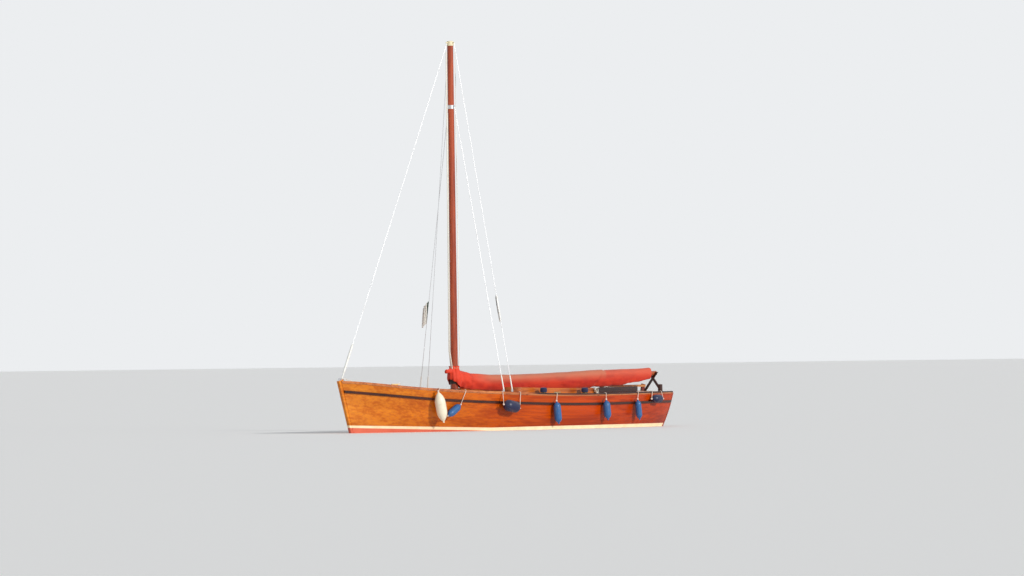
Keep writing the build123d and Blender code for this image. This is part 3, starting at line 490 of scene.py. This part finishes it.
# Columns: station from which a colour holds, going forward, and that colour
BANDS = [(stern, dark_blue), (-3.03, blue), (0.2, dark_blue), (1.45, blue)]
coat = vinyl.ramp(station, [((start - stern) / (bow - stern), colour)
                            for start, colour in BANDS], "CONSTANT")
# The white fender is what lies within its own radius of the line between its necks
white_top, white_foot = fender_end(FENDERS[0], 1), fender_end(FENDERS[0], -1)
folded = vinyl.node("CombineXYZ", inputs={0: x, 1: y.made("ABSOLUTE"), 2: z})
from_foot = vinyl.node("VectorMath", {"operation": "SUBTRACT"}, {0: folded, 1: white_foot})
crossed = vinyl.node("VectorMath", {"operation": "CROSS_PRODUCT"},
                     {0: from_foot, 1: (white_top - white_foot).normalized()})
off_axis = vinyl.node("VectorMath", {"operation": "LENGTH"}, {0: crossed}, output=1)
coat = vinyl.mix(white, coat, off_axis.step(0.1035, 0.1065))
scuff = vinyl.noise(vector, 14.0, 6.0, 0.6)
coat = vinyl.mix(coat, vinyl.mix(coat, tint(150, 140, 120), 0.6), scuff.step(0.52, 0.75) * 0.4)
vinyl.bump(scuff, 0.15, 0.001)
dress("fenders", vinyl.finish(coat, Roughness=scuff * 0.25 + 0.28, Coat_Weight=0.2))


def add_piece(name, mesh, body, material):
    """Makes a finished mesh into a piece that rides on a body."""
    data = bpy.data.meshes.new(name)
    mesh.to_mesh(data)
    mesh.free()
    data.materials.append(material)
    piece = bpy.data.objects.new(name, data)
    bpy.context.scene.collection.objects.link(piece)
    for face in data.polygons:
        face.use_smooth = True
    if body:
        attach(piece, body)
    return piece


def skin(mesh, loops):
    """Joins loops of points into a wall, ring by ring, and closes both ends."""
    before = None
    for points in loops:
        ring = bmesh.ops.create_circle(mesh, segments=len(points), radius=1)["verts"]
        for vert, point in zip(ring, points):
            vert.co = point
        if before:
            edges = {e for v in before + ring for e in v.link_edges
                     if all(w in before for w in e.verts) or all(w in ring for w in e.verts)}
            bmesh.ops.bridge_loops(mesh, edges=list(edges))
        else:
            bmesh.ops.contextual_create(mesh, geom=ring)
        before = ring
    bmesh.ops.contextual_create(mesh, geom=before)


# Sail cover: red proofed cloth over the boom and the sail stowed on it, full in the middle. It is
# paler along its top, partly faded there and partly painted light from the sky. It is made in two
# lengths that meet in a crease, and its fore end is gathered round the mast in a collar that a
# cord ties above the gooseneck.
lift = next(joint for joint in frame["joints"] if joint["name"] == "boom_lift")
pivot = Vector(lift["pos_m"])
mast_x = sum(corner.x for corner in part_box("mast")) / 2
# The boom lies to port of the centreline and rises a little towards its after end
swing, rise = math.radians(6.0), math.radians(1.2)
along_boom = Vector((-math.cos(rise) * math.cos(swing), math.cos(rise) * math.sin(swing),
                     math.sin(rise)))
across_boom = Vector((math.sin(swing), math.cos(swing), 0))
up_boom = across_boom.cross(along_boom)


def on_boom(distance_out, across=0.0, up=0.0):
    return pivot + along_boom * distance_out + across_boom * across + up_boom * up


# Columns: distance out along the boom, top above the boom's line, bottom below it, half width
COVER = [(-0.06, 0.220, 0.110, 0.120), (0.10, 0.190, 0.150, 0.112), (0.30, 0.138, 0.172, 0.102),
         (0.78, 0.112, 0.212, 0.116), (1.50, 0.090, 0.252, 0.130), (2.48, 0.098, 0.254, 0.132),
         (3.20, 0.116, 0.240, 0.124), (3.94, 0.108, 0.220, 0.110), (4.43, 0.103, 0.168, 0.095),
         (4.76, 0.112, 0.118, 0.077)]
# Columns: height above the water, radius of the collar there
COLLAR = [(0.800, 0.118), (0.830, 0.130), (0.900, 0.140), (1.000, 0.143), (1.080, 0.132),
          (1.140, 0.112), (1.175, 0.093), (1.190, 0.090), (1.205, 0.097), (1.222, 0.106)]
# The spare cloth ahead of the mast is bunched into a short tail below the tie.
# Columns: distance ahead of the mast, height above the water, radius there
TAIL = [(0.090, 1.120, 0.050), (0.130, 1.128, 0.056), (0.165, 1.126, 0.036), (0.190, 1.124, 0.034),
        (0.225, 1.118, 0.050), (0.250, 1.110, 0.030)]
tail_off_centre = 0.014
fullness, drawn_in = 0.86, 0.16
boom_hole_radius, mast_hole_radius, foot_hole_radius = 0.056, 0.080, 0.125


def eased(value, low, high):
    """0 below low, 1 above high and smooth between them, as Signal.step is on a shader."""
    share = max(0.0, min(1.0, (value - low) / (high - low)))
    return share * share * (3 - 2 * share)


def round_angles(count):
    """Angles evenly round a full turn."""
    return [2 * math.pi * k / count for k in range(count)]


def along_table(rows, spot):
    """The row of a table at a place along it, eased between the given ones."""
    for low, high in zip(rows, rows[1:]):
        if spot <= high[0]:
            share = eased(spot, low[0], high[0])
            return [a + (b - a) * share for a, b in zip(low[1:], high[1:])]
    return rows[-1][1:]


def cover_ring(spot, around=48):
    """One loop of the cloth round boom and sail, full at the sides and narrower underneath."""
    top, bottom, half = along_table(COVER, spot)
    loop = []
    for angle in round_angles(around):
        side, height = math.sin(angle), math.cos(angle)
        reach = (abs(side) ** fullness * math.copysign(half, side)
                 * (1 - drawn_in * max(0.0, -height)))
        loop.append(on_boom(spot, reach, height * (top if height > 0 else bottom)))
    return loop


hem_cut, hem_level = 0.17, 1.0


def collar_ring(level, radius, around=48):
    """One loop of the collar. Its lower hem is cut away upwards ahead of the mast."""
    loop = []
    for angle in round_angles(around):
        x, y = radius * math.cos(angle), radius * math.sin(angle)
        cut = (hem_cut * max(0.0, min(1.0, (x + 0.06) / 0.20))
               * max(0.0, (hem_level - level) / 0.20))
        loop.append(Vector((mast_x + x, y, level + cut)))
    return loop


cover_end, cover_steps = COVER[-1][0], 60
rough = bmesh.new()
skin(rough, [cover_ring(COVER[0][0] + (cover_end - COVER[0][0]) * i / cover_steps)
             for i in range(cover_steps + 1)])
skin(rough, [collar_ring(*row) for row in COLLAR])
skin(rough, [[Vector((mast_x + reach, tail_off_centre + radius * math.cos(angle),
                      level + radius * math.sin(angle))) for angle in round_angles(32)]
             for reach, level, radius in TAIL])
bmesh.ops.recalc_face_normals(rough, faces=rough.faces)
rough_data = bpy.data.meshes.new("cover_form")
rough.to_mesh(rough_data)
rough.free()
form = bpy.data.objects.new("cover_form", rough_data)
bpy.context.scene.collection.objects.link(form)
remesh = form.modifiers.new("one_cloth", "REMESH")
remesh.mode, remesh.voxel_size = "VOXEL", 0.0118
bpy.context.view_layer.update()
joined = bpy.data.meshes.new_from_object(
    form.evaluated_get(bpy.context.evaluated_depsgraph_get()))
bpy.data.objects.remove(form)
cloth = bmesh.new()
cloth.from_mesh(joined)
# The cloth is open where the mast and the boom go through it and all round the collar's foot
opened = []
for face in cloth.faces:
    middle = face.calc_center_median()
    offset = middle - pivot
    spot = offset.dot(along_boom)
    from_boom = (offset - along_boom * spot).length
    from_mast = math.hypot(middle.x - mast_x, middle.y)
    boom_hole = spot > cover_end - 0.02 and from_boom < boom_hole_radius
    mast_hole = middle.z > 1.19 and from_mast < mast_hole_radius
    foot_hole = face.normal.z < -0.6 and middle.z < hem_level and from_mast < foot_hole_radius
    if boom_hole or mast_hole or foot_hole:
        opened.append(face)
bmesh.ops.delete(cloth, geom=opened, context="FACES")
for _ in range(4):
    bmesh.ops.smooth_vert(cloth, verts=cloth.verts, factor=0.5, use_axis_x=True,
                          use_axis_y=True, use_axis_z=True)
cloth.normal_update()

lacing = [0.75 + 0.43 * i for i in range(9)]
gathers, gather_depth = 11, 0.0085
ray_count, ray_depth, rays_ahead, rays_above = 21, 0.0085, 0.10, 0.24
crease_spot, crease_lean, crease_level, crease_depth = 3.53, 0.85, 0.11, 0.011
pinch_depth, swell, ripple = 0.009, 0.010, 0.004


def fold_height(point):
    """How far the cloth stands out at a point: gathers round the mast, rays running down from
    the collar, the crease between the two lengths, pinches at the lacing and small ripples."""
    offset = point - pivot
    spot, up, side = (offset.dot(axis) for axis in (along_boom, up_boom, across_boom))
    from_mast = math.hypot(point.x - mast_x, point.y)
    turn = math.atan2(point.y, point.x - mast_x)
    near_mast = math.exp(-(max(0.0, from_mast - 0.12) / 0.09) ** 2) * eased(0.26 - spot, 0.0, 0.2)
    tall = 0.5 + 0.5 * eased(abs(point.z - 1.03), 0.0, 0.15)
    out = gather_depth * near_mast * tall * math.sin(gathers * turn + 1.3 * math.sin(2 * turn)
                                                     + 5 * point.z)
    ray_angle = math.atan2(up - rays_above, spot + rays_ahead)
    ray_length = math.hypot(up - rays_above, spot + rays_ahead)
    out += (ray_depth * eased(ray_length, 0.20, 0.42) * math.exp(-(ray_length / 0.72) ** 2)
            * math.sin(ray_count * ray_angle + 0.9 * math.sin(3.1 * ray_angle)))
    past_crease = spot - (crease_spot - crease_lean * (crease_level - up))
    if past_crease > -0.02:
        out -= (crease_depth * eased(past_crease, -0.02, 0.02)
                * math.exp(-max(0.0, past_crease) / 0.6))
    under = eased(-up, 0.06, 0.17)
    out -= pinch_depth * under * sum(math.exp(-((spot - tie) / 0.05) ** 2) for tie in lacing)
    out += swell * noise.noise(Vector((spot * 1.4, up * 4.0, side * 3.0)))
    out += ripple * noise.noise(Vector((spot * 5.5 + 3.0, up * 11.0, side * 9.0)))
    return out - 0.004


folds = [(vert, vert.co + vert.normal * fold_height(vert.co)) for vert in cloth.verts]
for vert, moved in folds:
    vert.co = moved
bmesh.ops.smooth_vert(cloth, verts=cloth.verts, factor=0.3, use_axis_x=True, use_axis_y=True,
                      use_axis_z=True)

# The cloth's colours follow the place each point has at rest, kept in the rest_place attribute
red_cloth = Paint("red_cover_cloth")
vector = red_cloth.node("Attribute", {"attribute_name": "rest_place"}, output=1)
x, _, z = red_cloth.axes(vector)
abaft_pivot, boom_slope = pivot.x - x, 0.021
above_boom = z - (abaft_pivot * boom_slope + pivot.z)
one_length = 1 - abaft_pivot.step(3.50, 3.56) * 0.55
# Paler along the top: partly faded cloth, partly painted light from the sky; less so abaft the
# crease
fade_and_sky_light = above_boom.step(-0.11, 0.07) * one_length * abaft_pivot.step(0.1, 0.9)
cloth_noise = red_cloth.noise(vector, 5.0, 4.0)
blotch = red_cloth.noise(red_cloth.stretched(vector, (1.0, 3.0, 3.0)), 2.0, 5.0, 0.6)
tone = red_cloth.mix(tint(226, 60, 28), tint(198, 40, 24), blotch.step(0.4, 0.7))
tone = red_cloth.mix(tone, tint(190, 116, 86), fade_and_sky_light * (cloth_noise * 0.5 + 0.62))
warp = red_cloth.node("TexWave", {"wave_type": "BANDS", "bands_direction": "X"},
                      {"Vector": vector, "Scale": 260.0})
weft = red_cloth.node("TexWave", {"wave_type": "BANDS", "bands_direction": "Z"},
                      {"Vector": vector, "Scale": 260.0})
red_cloth.bump(warp * 0.3 + weft * 0.3 + red_cloth.noise(vector, 26.0, 4.0) * 2.0, 0.35, 0.0015)
area = sum(face.calc_area() for face in cloth.faces)
cover = add_piece("boom_cover", cloth, None,
                  red_cloth.finish(tone, Roughness=cloth_noise * 0.15 + 0.62, Sheen_Weight=0.15))
rest_place = cover.data.attributes.new("rest_place", "FLOAT_VECTOR", "POINT")
rest_place.data.foreach_set("vector", [c for vert in cover.data.vertices for c in vert.co])
wall = cover.modifiers.new("cloth", "SOLIDIFY")
wall.thickness, wall.offset = 0.002, -1
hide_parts("sail_cover", "cover_collar")
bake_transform(cover)
area / 4.95


# Running rigging: white halyards of laid rope down the fore and after sides of the mast, whose
# lower ends are hidden in the collar, and the cream cord that ties the collar round the mast.
def rope_paint(name, colour, fleck):
    paint = Paint(name)
    vector = paint.place()
    lay = paint.node("TexWave", {"wave_type": "BANDS", "bands_direction": "DIAGONAL"},
                     {"Vector": vector, "Scale": 60.0})
    dirt = paint.noise(vector, 8.0, 4.0)
    paint.bump(lay, 0.5, 0.001)
    return paint.finish(paint.mix(paint.mix(colour, fleck, lay * 0.35), fleck,
                                  dirt.step(0.5, 0.8) * 0.5), Roughness=0.75)


white_rope = rope_paint("white_rope", tint(246, 243, 234), tint(206, 198, 180))
cream_rope = rope_paint("cream_rope", tint(232, 212, 172), tint(180, 152, 110))


def tube(mesh, points, radius, sides=8):
    """A round line through points. radius is one number, or one for each point."""
    points = [Vector(p) for p in points]
    radii = radius if hasattr(radius, "__len__") else [radius] * len(points)
    loops = []
    for i, (point, wide) in enumerate(zip(points, radii)):
        ahead_of = points[min(i + 1, len(points) - 1)] - points[max(i - 1, 0)]
        turned_to = ahead_of.to_track_quat("Z", "Y").to_matrix()
        loops.append([point + turned_to @ Vector((wide * math.cos(2 * math.pi * k / sides),
                                                  wide * math.sin(2 * math.pi * k / sides), 0))
                      for k in range(sides)])
    skin(mesh, loops)


def rope(name, runs, radius, body, material, sides=8):
    mesh = bmesh.new()
    for points in runs:
        tube(mesh, points, radius, sides)
    bmesh.ops.recalc_face_normals(mesh, faces=mesh.faces)
    return add_piece(name, mesh, body, material)


mast_low, mast_high = 1.02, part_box("mast")[1].z - 0.12
tie_radius, tie_level = 0.093, 1.186
rope("halyards_forward", [
    [(mast_x + 0.084, y, mast_low), (mast_x + 0.086, y, 1.20), (mast_x + stand, y, 1.50),
     (mast_x + stand - 0.015, y * 0.8, 4.0), (mast_x + stand - 0.03, y * 0.6, top)]
    for y, stand, top in ((0.018, 0.150, mast_high), (0.0, 0.128, mast_high),
                          (0.034, 0.142, 6.0))], 0.0095, "hull", white_rope)
rope("halyards_aft", [
    [(mast_x - 0.070, 0.045, mast_low), (mast_x - 0.072, 0.045, 1.20),
     (mast_x - 0.072, 0.080, 1.50), (mast_x - 0.066, 0.066, mast_high)],
    [(mast_x - 0.050, 0.070, mast_low), (mast_x - 0.052, 0.070, 1.20),
     (mast_x - 0.055, 0.095, 1.50), (mast_x - 0.050, 0.078, 6.05)]],
    0.006, "hull", white_rope)
rope("collar_tie", [[(mast_x + tie_radius * math.cos(a * math.pi / 12),
                      tie_radius * math.sin(a * math.pi / 12), tie_level + 0.002 * math.sin(a))
                     for a in range(25)]], 0.0045, "hull", cream_rope)

# Forestay sleeve: a stout white tube over the lower end of the forestay and its screw.
stay_foot, stay_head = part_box("forestay")
stay_low = Vector((3.96, 0, 1.02))
stay_top = Vector((stay_foot.x, 0, stay_head.z))
stay_line = (stay_top - stay_low).normalized()
sleeve = bmesh.new()
tube(sleeve, [stay_low + stay_line * s for s in (0.10, 0.12, 0.15, 0.40, 0.66, 0.70)],
     [0.012, 0.020, 0.023, 0.023, 0.021, 0.008], 16)
bmesh.ops.recalc_face_normals(sleeve, faces=sleeve.faces)
add_piece("forestay_sleeve", sleeve, "hull", white_sleeve)

# Mooring bitt: a low bar of dark varnished wood on two feet in the middle of the foredeck, which
# hides behind the rails, and the white bow line made fast on it with three turns.
post_low, post_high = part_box("samson_post")
post_x, deck_top = (post_low.x + post_high.x) / 2, post_low.z
foot_off_centre, foot_size, bar_level = 0.034, (0.052, 0.030, 0.022), deck_top + 0.026
# Columns: distance to port of the centreline, rise of the bar there, its radius there
BAR = [(-0.095, 0.004, 0.006), (-0.090, 0.004, 0.010), (-0.05, 0.0, 0.014), (0.05, 0.0, 0.014),
       (0.090, 0.004, 0.010), (0.095, 0.004, 0.006)]
bitt = bmesh.new()
for foot_y in (-foot_off_centre, foot_off_centre):
    bmesh.ops.create_cube(bitt, size=1, matrix=Matrix.Translation(
        (post_x, foot_y, deck_top + 0.009)) @ Matrix.Diagonal((*foot_size, 1)))
tube(bitt, [(post_x, off_centre, bar_level + raised) for off_centre, raised, _ in BAR],
     [radius for *_, radius in BAR], 20)
# The long edges of the feet are eased
long_edge, sharp = 0.028, 1.2
bmesh.ops.bevel(bitt, geom=[e for e in bitt.edges if e.calc_length() > long_edge
                            and abs(e.verts[0].co.z - deck_top) < 0.06
                            and len(e.link_faces) == 2 and e.calc_face_angle() > sharp],
                offset=0.004, segments=2, profile=0.5, affect="EDGES", material=-1)
bmesh.ops.recalc_face_normals(bitt, faces=bitt.faces)
bow_bitt = add_piece("bow_bitt", bitt, "hull", dark_timber_and_strake_shade)
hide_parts("samson_post")
turns_level = deck_top + 0.022
rope("bow_rope", [[(3.985, 0.02, 1.015), (3.90, 0.025, 1.010), (3.66, 0.035, deck_top + 0.050),
                   (post_x + 0.05, 0.03, turns_level + 0.012)]]
     + [[(post_x + 0.034 * math.cos(a * math.pi / 8), 0.052 * math.sin(a * math.pi / 8),
          turns_level + 0.012 * turn) for a in range(17)] for turn in (-1, 0, 1)],
     0.0075, "hull", white_rope)

# Fender lanyards: short pinkish-white ropes, knotted round a neck of the fender and made fast
# inboard over the toe rail. The upright fenders hang by one, the level ones by both ends.
lanyards = bmesh.new()
for row, ends in zip(FENDERS, ((1,), (1,), (1, -1), (1,), (1,), (1,), (1, -1))):
    for end in ends:
        knot = fender_end(row, end)
        over_rail = rail_meets(knot.x - 0.085, [1.10 - 0.003 * i for i in range(200)])
        middle = Vector((row[0], knot.y, row[1]))
        outwards = (knot - middle).normalized()
        for side in (1, -1):
            flip = Vector((1, side, 1))
            tube(lanyards, [p * flip for p in (knot - outwards * 0.012, knot + outwards * 0.002,
                                               knot + outwards * 0.020)], [0.017, 0.019, 0.012])
            route = [knot + outwards * 0.012, knot.lerp(over_rail, 0.12) + Vector((0, 0.004, 0))]
            route += [over_rail + Vector((0, outboard, up)) for outboard, up in
                      ((0.008, -0.006), (-0.006, 0.008), (-0.040, 0.004), (-0.070, -0.030))]
            tube(lanyards, [p * flip for p in route], 0.0065)
bmesh.ops.recalc_face_normals(lanyards, faces=lanyards.faces)
add_piece("fender_lanyards", lanyards, "hull",
          rope_paint("lanyard_rope", tint(238, 220, 206), tint(196, 164, 146)))

# Mainsheet: white rope rove in three parts between the block on the boom and the block on its
# car, with two strops from the boom down to the upper block.
upper_low, upper_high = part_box("upper_sheet_block")
lower_low, lower_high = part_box("lower_sheet_block")
sheave_inside = 0.046
upper_block = Vector(((upper_low.x + upper_high.x) / 2, (upper_low.y + upper_high.y) / 2,
                      upper_low.z + sheave_inside))
lower_block = Vector(((lower_low.x + lower_high.x) / 2, (lower_low.y + lower_high.y) / 2,
                      lower_high.z - sheave_inside))
falls = rope("mainsheet_falls",
             [[lower_block + Vector((across, out, 0)), upper_block + Vector((across, out, 0))]
              for across, out in ((-0.012, 0.030), (0.012, -0.030), (0.0, 0.028))],
             0.0065, None, white_rope)
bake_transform(falls)
rope("mainsheet_strops", [[on_boom(spot, across, -0.19), upper_block + Vector((0, across, 0.04))]
                          for spot, across in ((3.45, 0.02), (3.60, -0.02))],
     0.0065, "boom", white_rope)


# Hank: the port sheet's spare white rope, led out through the side of the coaming, made up in
# four turns over a bronze peg and with its bare end on the side deck.
hank_x, peg_level, hank_middle = -1.845, 0.757, 0.7225
face_at_hank, face_slope = 0.9175, 0.08
coil_wide, coil_tall, coil_stands_out, turn_pitch, points_a_turn = 0.034, 0.048, 0.055, 0.0112, 14


def coaming_face(x):
    """Where the outer face of the port coaming stands at a station near the hank."""
    return face_at_hank + face_slope * (x - hank_x)


hank_route = [(0.066, 0.000, 0.0295), (0.066, 0.022, 0.0295), (0.060, 0.042, 0.0235),
              (0.046, 0.053, 0.0095)]
hank_route += [(coil_wide * math.cos(a), coil_stands_out - turn_pitch * a / (2 * math.pi),
                -coil_tall * math.sin(a))
               for a in (2 * math.pi * k / points_a_turn for k in range(4 * points_a_turn + 3))]
hank_route += [(-0.008, 0.0085, -0.0485), (-0.030, 0.011, -0.0515), (-0.055, 0.016, -0.0530),
               (-0.085, 0.024, -0.0530)]
hank_data = bpy.data.curves.new("sheet_hank", "CURVE")
hank_data.dimensions = "3D"
hank_line = hank_data.splines.new("NURBS")
hank_line.points.add(len(hank_route) - 1)
for point, (ahead, out, up) in zip(hank_line.points, hank_route):
    station = hank_x + ahead
    point.co = (station, coaming_face(station) + out, hank_middle + up, 1)
hank_line.order_u, hank_line.use_endpoint_u, hank_line.resolution_u = 3, True, 6
hank_data.bevel_depth, hank_data.bevel_resolution, hank_data.use_fill_caps = 0.005, 3, True
hank_data.materials.append(white_rope)
hank = bpy.data.objects.new("sheet_hank", hank_data)
bpy.context.scene.collection.objects.link(hank)
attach(hank, "hull")
peg_mesh = bmesh.new()
face_at_peg = coaming_face(hank_x)
tube(peg_mesh, [(hank_x, face_at_peg + out, peg_level) for out in
                (-0.012, 0.002, 0.004, 0.058, 0.060, 0.068, 0.071)],
     [0.0065, 0.0065, 0.0062, 0.0062, 0.0095, 0.0095, 0.004], 16)
bmesh.ops.recalc_face_normals(peg_mesh, faces=peg_mesh.faces)
add_piece("hank_peg", peg_mesh, "hull", bronze)

# Winch covers: navy cloth caps with a drawn hem over the four sheet winches, open underneath.
hood_folds, hood_slack = 13, 0.04
hoods = bmesh.new()
hood_points = [v.co for v in nodes["winch_covers"].data.vertices]
for station in (-0.23, -1.37):
    for side in (1, -1):
        mine = [p for p in hood_points if abs(p.x - station) < 0.09 and p.y * side > 0]
        low = [min(p[i] for p in mine) for i in range(3)]
        high = [max(p[i] for p in mine) for i in range(3)]
        middle = Vector(((low[0] + high[0]) / 2, (low[1] + high[1]) / 2, 0))
        top, hem, wide = high[2], low[2], (high[0] - low[0]) / 2
        profile = [(0.010, top + 0.003), (0.45 * wide, top + 0.002), (0.80 * wide, top - 0.001),
                   (0.95 * wide, top - 0.006), (1.02 * wide, top - 0.020),
                   (1.04 * wide, hem + 0.045), (1.02 * wide, hem + 0.020),
                   (0.99 * wide, hem + 0.010), (1.05 * wide, hem)]
        loops = []
        for radius, level in profile:
            slack = hood_slack * (top - level) / (top - hem) * radius
            rim = [(radius + slack * math.sin(hood_folds * t), t) for t in round_angles(78)]
            loops.append([middle + Vector((reach * math.cos(t), reach * math.sin(t), level))
                          for reach, t in rim])
        skin(hoods, loops)
lids = [face for face in hoods.faces if len(face.verts) > 4 and face.calc_area() > 0.004]
bmesh.ops.delete(hoods, geom=lids, context="FACES_ONLY")
bmesh.ops.recalc_face_normals(hoods, faces=hoods.faces)
navy = Paint("navy_cloth")
vector = navy.place()
weave = navy.noise(vector, 220.0, 2.0)
navy.bump(weave + navy.noise(vector, 30.0, 3.0) * 2.0, 0.4, 0.001)
hood_area = sum(face.calc_area() for face in hoods.faces)
winch_hoods = add_piece("winch_hoods", hoods, "hull",
                        navy.finish(navy.mix(tint(14, 20, 52), tint(34, 44, 92), weave),
                                    Roughness=0.8, Sheen_Weight=0.2))
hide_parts("winch_covers")
hood_area / 0.24
hem_thickness = winch_hoods.modifiers.new("cloth", "SOLIDIFY")
hem_thickness.thickness, hem_thickness.offset = 0.0012, 1

# Flags: a small limp two-coloured flag on the starboard fore shroud, and a narrow one rolled
# close to the port after shroud. Thin cloth, hanging in folds from its hoist.
between_feet, between_heads = 0.75, 6.6


def shroud_point(side, foot_x, level):
    """A point of a shroud at a height, read from the shrouds' own mesh. The after shroud of a
    side goes up to the higher of the two places where shrouds meet the mast."""
    near = [v.co for v in nodes["shrouds"].data.vertices if v.co.y * side > 0]
    foot = min((p for p in near if p.z < 1.6), key=lambda p: abs(p.x - foot_x))
    lowest, highest = (between_heads, math.inf) if foot_x < between_feet else (5.5, between_heads)
    heads = [Vector(p) for p in near if lowest < p.z <= highest]
    top = sum(heads, Vector()) / len(heads)
    return foot.lerp(top, (level - foot.z) / (top.z - foot.z))


def limp_flag(name, high, low, fly, reach, folds, colours, out_from):
    """Cloth hanging from a hoist line, gathered in upright folds that droop to the fly end."""
    mesh = bmesh.new()
    across_steps, down_steps = 56, 26
    bmesh.ops.create_grid(mesh, x_segments=across_steps, y_segments=down_steps, size=0.5)
    sideways = Vector((-out_from.y, out_from.x, 0))
    fold_depth = 0.9 * fly / folds / 4
    for vert in mesh.verts:
        u, v = vert.co.x + 0.5, 0.5 - vert.co.y
        swing_by = 2 * math.pi * folds * u + 1.4 * v
        away = reach * (u + 0.12 * math.sin(swing_by) * (0.3 + u)) * (1 - 0.25 * v)
        sway = fold_depth * math.sin(swing_by + 0.6) * min(1.0, 6 * u)
        droop = 0.45 * fly * u ** 1.4 * (1 - 0.35 * v)
        vert.co = high.lerp(low, v) + out_from * away + sideways * sway - Vector((0, 0, droop))
    size = sum(face.calc_area() for face in mesh.faces)
    cloth_paint = Paint(name + "_cloth")
    vector = cloth_paint.place()
    x, y, _ = cloth_paint.axes(vector)
    share = (x * out_from.x + y * out_from.y - (high.x * out_from.x + high.y * out_from.y)) / reach
    thread = cloth_paint.noise(vector, 260.0, 2.0)
    tone = cloth_paint.mix(colours[0], colours[1], share.step(0.32, 0.36))
    cloth_paint.bump(thread, 0.2, 0.0008)
    flag = add_piece(name, mesh, "hull", cloth_paint.finish(
        cloth_paint.mix(tone, (0.55, 0.55, 0.52), thread * 0.12), Roughness=thread * 0.1 + 0.75))
    layer = flag.modifiers.new("cloth", "SOLIDIFY")
    layer.thickness, layer.offset = 0.001, 0
    hoist = (high - low).length
    size / hoist


forward_out = Vector((0.82, -0.57, 0))
green, flag_white, ink = tint(24, 74, 54), tint(244, 242, 236), tint(34, 38, 48)
limp_flag("courtesy_flag", shroud_point(-1, 0.85, 2.46), shroud_point(-1, 0.85, 2.04), 0.30, 0.12,
          3, (green, flag_white), forward_out)
limp_flag("rolled_burgee", shroud_point(1, 0.64, 2.56), shroud_point(1, 0.64, 2.10), 0.20, 0.055,
          3, (flag_white, ink), Vector((-0.6, -0.8, 0)))
